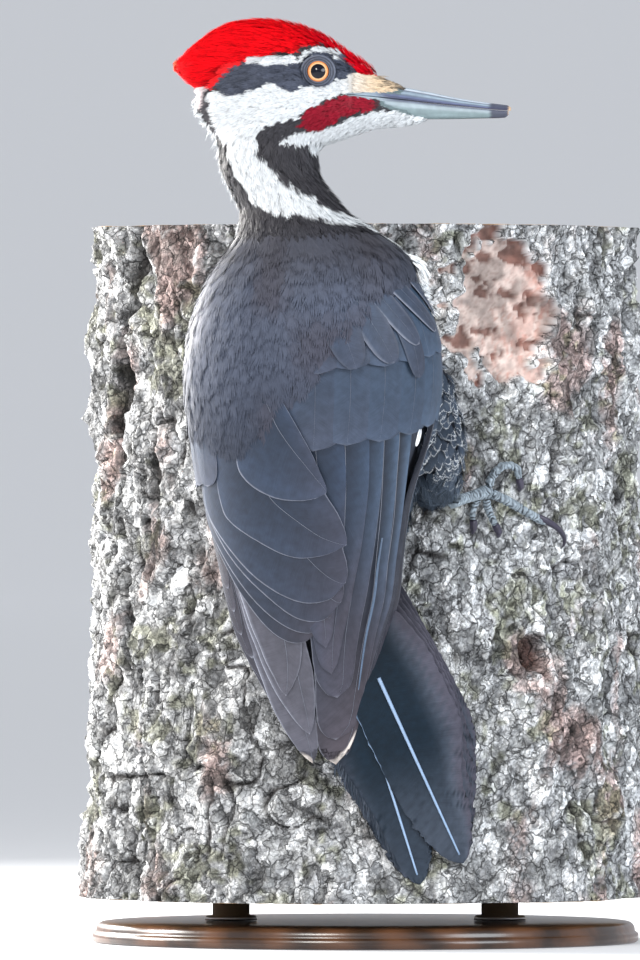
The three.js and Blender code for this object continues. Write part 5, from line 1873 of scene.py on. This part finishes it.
def make_lids(side, name, centre):
    """Rings of bare folded skin round the eye, from the rim of the lids out to the feathers."""
    around, steps = 120, 26
    turn = np.linspace(0, 2 * math.pi, around, endpoint=False)[:, None]
    share = np.linspace(0, 1, steps)[None]
    inner = 4.86 + 0.14 * np.cos(2 * turn)
    radial = mix(inner, 8.1, share)
    fold = np.cos((radial - 5.3) * 2 * math.pi / (0.82 + 0.05 * radial)) * (1 - 0.55 * share)
    grain = np.stack([np.cos(turn) * radial * 2.4, np.sin(turn) * radial * 2.4, 0 * radial], axis=-1)
    pleat = 0.10 * value_noise(grain.reshape(-1, 3), 96).reshape(radial.shape)
    rise = mix(4.62, 1.5, smooth(share, 0.0, 1.0) ** 0.9) + 0.26 * fold + pleat
    rise = rise - 0.35 * (share < 0.02)
    x, z = np.cos(turn) * radial * 1.02, np.sin(turn) * radial * 0.98
    top = np.stack([x, side * rise, z], axis=-1).reshape(-1, 3) + centre
    under = np.stack([x, side * (rise - 1.0), z], axis=-1).reshape(-1, 3) + centre
    # Painted shade in the valleys of the folds, and painted light on the raised pleats.
    dark = smooth(-fold, -0.15, 0.75)
    tint = mix(LID_PALE, LID_DARK, (dark * 0.8)[..., None])
    tint = mix(tint, LID_DARK * 0.7, (1 - smooth(share, 0.03, 0.09))[..., None])
    tint = (tint * (1 + 1.6 * pleat)[..., None]).reshape(-1, 3)
    size = around * steps
    ring = grid_quads(around, steps, 0, side > 0)
    j = np.arange(steps - 1)
    last = (around - 1) * steps
    seam = np.stack([last + j, last + j + 1, j + 1, j], axis=1)
    sheet = np.concatenate([ring, seam[:, ::-1] if side > 0 else seam])
    k = np.arange(around)
    after = (k + 1) % around
    rims = []
    for column, flip in ((0, side < 0), (steps - 1, side > 0)):
        wall = np.stack([k, after, after, k], axis=1) * steps + column + np.array([0, 0, size, size])
        rims.append(wall[:, ::-1] if flip else wall)
    quads = np.concatenate([sheet, sheet[:, ::-1] + size, *rims])
    points, tint = np.concatenate([top, under]), np.concatenate([tint, tint])
    own(build_mesh(f"{name}_lids", points, quads, tint, None, LID_LOOK))


SLIMMER = 0.35  # how far the scaled skin lies inside the solids of the legs


def make_limb(node, voxel, pitch, tone, look):
    """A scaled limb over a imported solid, with rings of scutes along it, or a smooth claw where pitch is 0."""
    piece = remeshed(f"{node}_scaled", [node], voxel, 3)
    mesh = piece.data
    points = points_of(mesh)
    middle = points.mean(axis=0)
    _u, _s, axes = np.linalg.svd(points - middle, full_matrices=False)
    along = (points - middle) @ axes[0]
    patches = value_noise(points / 1.3, 97)[:, None]
    tint = np.broadcast_to(tone, (len(points), 3)) * (1 + 0.38 * patches)
    if pitch:
        phase = (along / pitch + 0.8 * value_noise(points / 2.6, 98)) % 1.0
        groove = 1 - smooth(np.minimum(phase, 1 - phase), 0.1, 0.3)
        groove = groove * (0.55 + 0.45 * smooth(value_noise(points / 3.1, 95), -0.4, 0.3))
        points = points + normals_of(mesh) * (0.3 * phase**0.7 - 0.4 * groove - SLIMMER)[:, None]
        move_points(mesh, points)
        tint = mix(tint, TOE_GROOVE, groove[:, None] * clamp01(0.95 + 0.5 * patches))
    else:
        move_points(mesh, points + normals_of(mesh) * 0.4)
    paint(mesh, tint)
    mesh.materials.append(look)
    return own(piece, [node])


# The outer toe's long claw, from inside the toe to its point: x, height over the bark, height, radius.
LONG_CLAW = [
    (82, 3.2, 206, 1.5), (87, 4.0, 203.2, 2.0), (91.4, 4.2, 200.2, 1.7), (94.4, 3.2, 196.2, 1.3),
    (94.6, 1.4, 192.6, 0.75), (93.2, 0.2, 190.6, 0.15),
]


def make_long_claw():
    """The claw that lies in the open on the bark, as a flattened tapering tube."""
    rows, around = 40, 20
    share = np.linspace(0, 1, len(LONG_CLAW))
    x, over, z, size = read_table(np.column_stack([share, LONG_CLAW]), np.linspace(0, 1, rows))
    radius = TRUNK["radius"] + over
    a = np.arcsin(np.clip(x / radius, -1, 1))
    radius = bark_radius(a, z) + over
    centre = np.stack([x, -np.cos(a) * radius, z], axis=-1)
    run = unit(np.gradient(centre, axis=0))
    out = np.stack([np.sin(a), -np.cos(a), 0 * a], axis=-1)
    out = unit(out - run * np.sum(out * run, axis=1, keepdims=True))
    points = tube(centre, np.cross(run, out) * 0.8, out, size, around)
    j = np.arange(around)
    last = (rows - 1) * around
    caps = [
        np.stack([np.full(around - 2, 0), j[2:], j[1:-1]], axis=1),
        np.stack([np.full(around - 2, last), last + j[1:-1], last + j[2:]], axis=1),
    ]
    shade = np.repeat(mix(1.1, 0.7, np.linspace(0, 1, rows)), around)[:, None]
    quads = grid_quads(rows, around, 0, wrap=True)
    piece = build_mesh("claw_right_outer_horn", points, [quads, *caps], CLAW * shade, None, CLAW_LOOK)
    return own(piece, ["claw_right_outer"])


def make_legs():
    for side in ("right", "left"):
        make_limb(f"tarsus_{side}", 0.5, 2.6, TOE, LEG_LOOK)
        for toe in ("outer", "upper", "inner", "rear"):
            make_limb(f"toe_{side}_{toe}", 0.45, 2.1, TOE, LEG_LOOK)
            if (side, toe) == ("right", "outer"):
                make_long_claw()
            else:
                make_limb(f"claw_{side}_{toe}", 0.3, 0, CLAW, CLAW_LOOK)


# ---------------------------------------------------------------- stand
def wood_material(name, light, dark, scale, ringed, **sockets):
    """Wood with grain that runs in rings round the axis or along X."""
    material, tree, shader = new_material(name, Roughness=0.75 if ringed else 0.32, **sockets)
    shape = stretched(tree, object_place(tree), (1, 1, 1) if ringed else (0.12, 1, 0.6))
    grain = {"Scale": scale, "Distortion": 2.5, "Detail": 4, "Detail Scale": 1.4, "Vector": shape}
    settings = {"wave_type": "RINGS", "rings_direction": "Z"} if ringed else {"wave_type": "BANDS"}
    wave = add(tree, "TexWave", grain, **settings).outputs["Fac"]
    plug(tree, shader, {"Base Color": ramp(tree, wave, (0, dark), (1, light))})
    raise_by(tree, shader, wave, 0.3, 0.0004)
    return material


def lathe(name, profile, around, centre, look):
    """A closed turned piece from a profile of radius and height that starts and ends on the axis."""
    turn = np.linspace(0, 2 * math.pi, around, endpoint=False)
    body = profile[1:-1]
    rings = [np.stack([np.cos(turn) * r, np.sin(turn) * r, np.full(around, z)], axis=1) for r, z in body]
    ends = [[0, 0, profile[0][1]], [0, 0, profile[-1][1]]]
    points, faces = close_rings(np.concatenate(rings), len(body), ends)
    return build_mesh(name, points + np.array([*centre, 0]), faces, material=look)


def make_stand():
    """The round base with its moulded edge, and two short rods, each with a collar, up to the trunk."""
    r, t = STAND["radius"], STAND["thickness"]
    profile = [(0, 0), (r - 1.2, 0), (r, 0.8), (r, 4.2), (r - 1.0, 4.9)]
    for k in range(9):
        a = math.radians(90 * k / 8)
        profile.append((r - 1.6 - 3.4 * (1 - math.cos(a)), 5.4 + (t - 5.6) * math.sin(a)))
    profile += [(r - 5.6, t - 0.2), (r - 6.4, t), (r * 0.6, t), (0, t)]
    polish = {"Coat_Weight": 0.4, "Coat_Roughness": 0.15}
    dark = wood_material("stand_walnut", WALNUT_LIGHT, WALNUT_DARK, 90, False, **polish)
    own(lathe("stand_base_turned", profile, 256, (0, 0), dark), ["stand_base"])
    steel = steel_material()
    radius = STAND["rod_radius"]
    for side, sign in (("left", -1), ("right", 1)):
        low, high = t + 0.3, TRUNK["bottom"] - 0.3
        ring = [(0, low), (radius + 3.5, low), (radius + 3.5, low + 1.6), (radius + 2.7, low + 2.4)]
        ring += [(radius, low + 2.6), (radius, high - 0.6), (radius - 0.6, high), (0, high)]
        rod = lathe(f"stand_rod_{side}_turned", ring, 96, (sign * STAND["rod_spacing"] / 2, 0), steel)
        own(rod, [f"stand_rod_{side}"])


def steel_material():
    """Brushed steel, its fine lines running round the rods."""
    material, tree, shader = new_material("stand_steel", Metallic=1, Base_Color=(0.56, 0.56, 0.57, 1))
    lines = add(tree, "TexNoise", {"Scale": 1, "Vector": stretched(tree, object_place(tree), (40, 40, 4000))})
    plug(tree, shader, {"Roughness": between(tree, lines.outputs["Fac"], 0.22, 0.42)})
    return material


# ---------------------------------------------------------------- room
FLOOR_GAP = 0.2  # how far the floor lies under the stand
WARM_LIGHT = (1.0, 0.97, 0.93)
COOL_LIGHT = (0.9, 0.95, 1.0)
LIGHTS = [  # name, place, what it is aimed at, size, power and colour
    ("key", (-700, -1700, 1400), (-20, -200, 260), 600, 26, WARM_LIGHT),
    ("fill", (1500, -1300, 800), (-20, -200, 240), 1000, 22, COOL_LIGHT),
    ("rim", (-1250, 250, 620), (-60, -200, 300), 500, 30, WARM_LIGHT),
    ("edge", (-900, 1000, 560), (-80, -200, 300), 300, 46, WARM_LIGHT),
]


def make_floor():
    """A pale floor that rises far away into a round wall."""
    flat, bend, top, around = 21000, 4000, 12000, 96
    path = [(40 * 1.6**k, 0.0) for k in range(14)] + [(flat, 0.0)]
    for k in range(1, 13):
        a = math.radians(90 * k / 12)
        path.append((flat + bend * math.sin(a), bend - bend * math.cos(a)))
    path.append((flat + bend, top))
    turn = np.arange(around) / around * 2 * math.pi
    points = [
        np.stack([np.sin(turn) * r, -np.cos(turn) * r, np.full(around, z - FLOOR_GAP)], axis=1)
        for r, z in path
    ]
    points.append(np.array([[0, 0, -FLOOR_GAP]]))
    j = np.arange(around)
    hub = np.stack([(j + 1) % around, j, np.full(around, around * len(path))], axis=1)[:, ::-1]
    floor, _tree, _shader = new_material(
        "floor", Base_Color=(0.62, 0.63, 0.645, 1), Roughness=0.9, Emission_Color=(0.93, 0.95, 1.0, 1),
        Emission_Strength=0.26,
    )
    quads = grid_quads(len(path), around, flip=True, wrap=True)
    build_mesh("floor_sweep", np.concatenate(points), [quads, hub], material=floor)


def make_camera():
    """A long lens straight behind the bird."""
    camera = bpy.data.cameras.new("camera")
    camera.sensor_width = 36
    camera.lens = camera.sensor_width * CAMERA_DISTANCE / VIEW_HEIGHT
    camera.clip_end = 80
    holder = bpy.data.objects.new("camera", camera)
    holder.location = (Vector(VIEW_CENTRE) - Vector((0, CAMERA_DISTANCE, 0))) * MM
    holder.rotation_euler = (math.radians(90), 0, 0)
    bpy.context.scene.collection.objects.link(holder)
    bpy.context.scene.camera = holder


def make_room():
    """The floor, an even light from all round, the lamps and the camera."""
    make_floor()
    scene = bpy.context.scene
    scene.world = bpy.data.worlds.new("room")
    scene.world.use_nodes = True
    tree = scene.world.node_tree
    plug(tree, tree.nodes["Background"], {"Color": (0.9, 0.94, 1.0, 1), "Strength": 0.5})
    for light in LIGHTS:
        area_light(*light)
    make_camera()
    scene.view_settings.view_transform = "Standard"


def area_light(name, place, target, size, power, colour):
    """A round lamp in millimetres and watts, turned towards its target."""
    light = bpy.data.lights.new(name, "AREA")
    light.shape = "DISK"
    light.size = size * MM
    light.energy = power
    light.color = colour
    lamp = bpy.data.objects.new(name, light)
    lamp.location = Vector(place) * MM
    aim = Vector(target) - Vector(place)
    lamp.rotation_euler = aim.to_track_quat("-Z", "Y").to_euler()
    bpy.context.scene.collection.objects.link(lamp)


# ---------------------------------------------------------------- assembly
make_room()
make_stand()
make_log()
skin = make_skin()
make_coat(Coat(skin))
make_wings()
make_tail()
make_bill()
make_eye(-1, "eye_right")
make_eye(1, "eye_left")
make_legs()
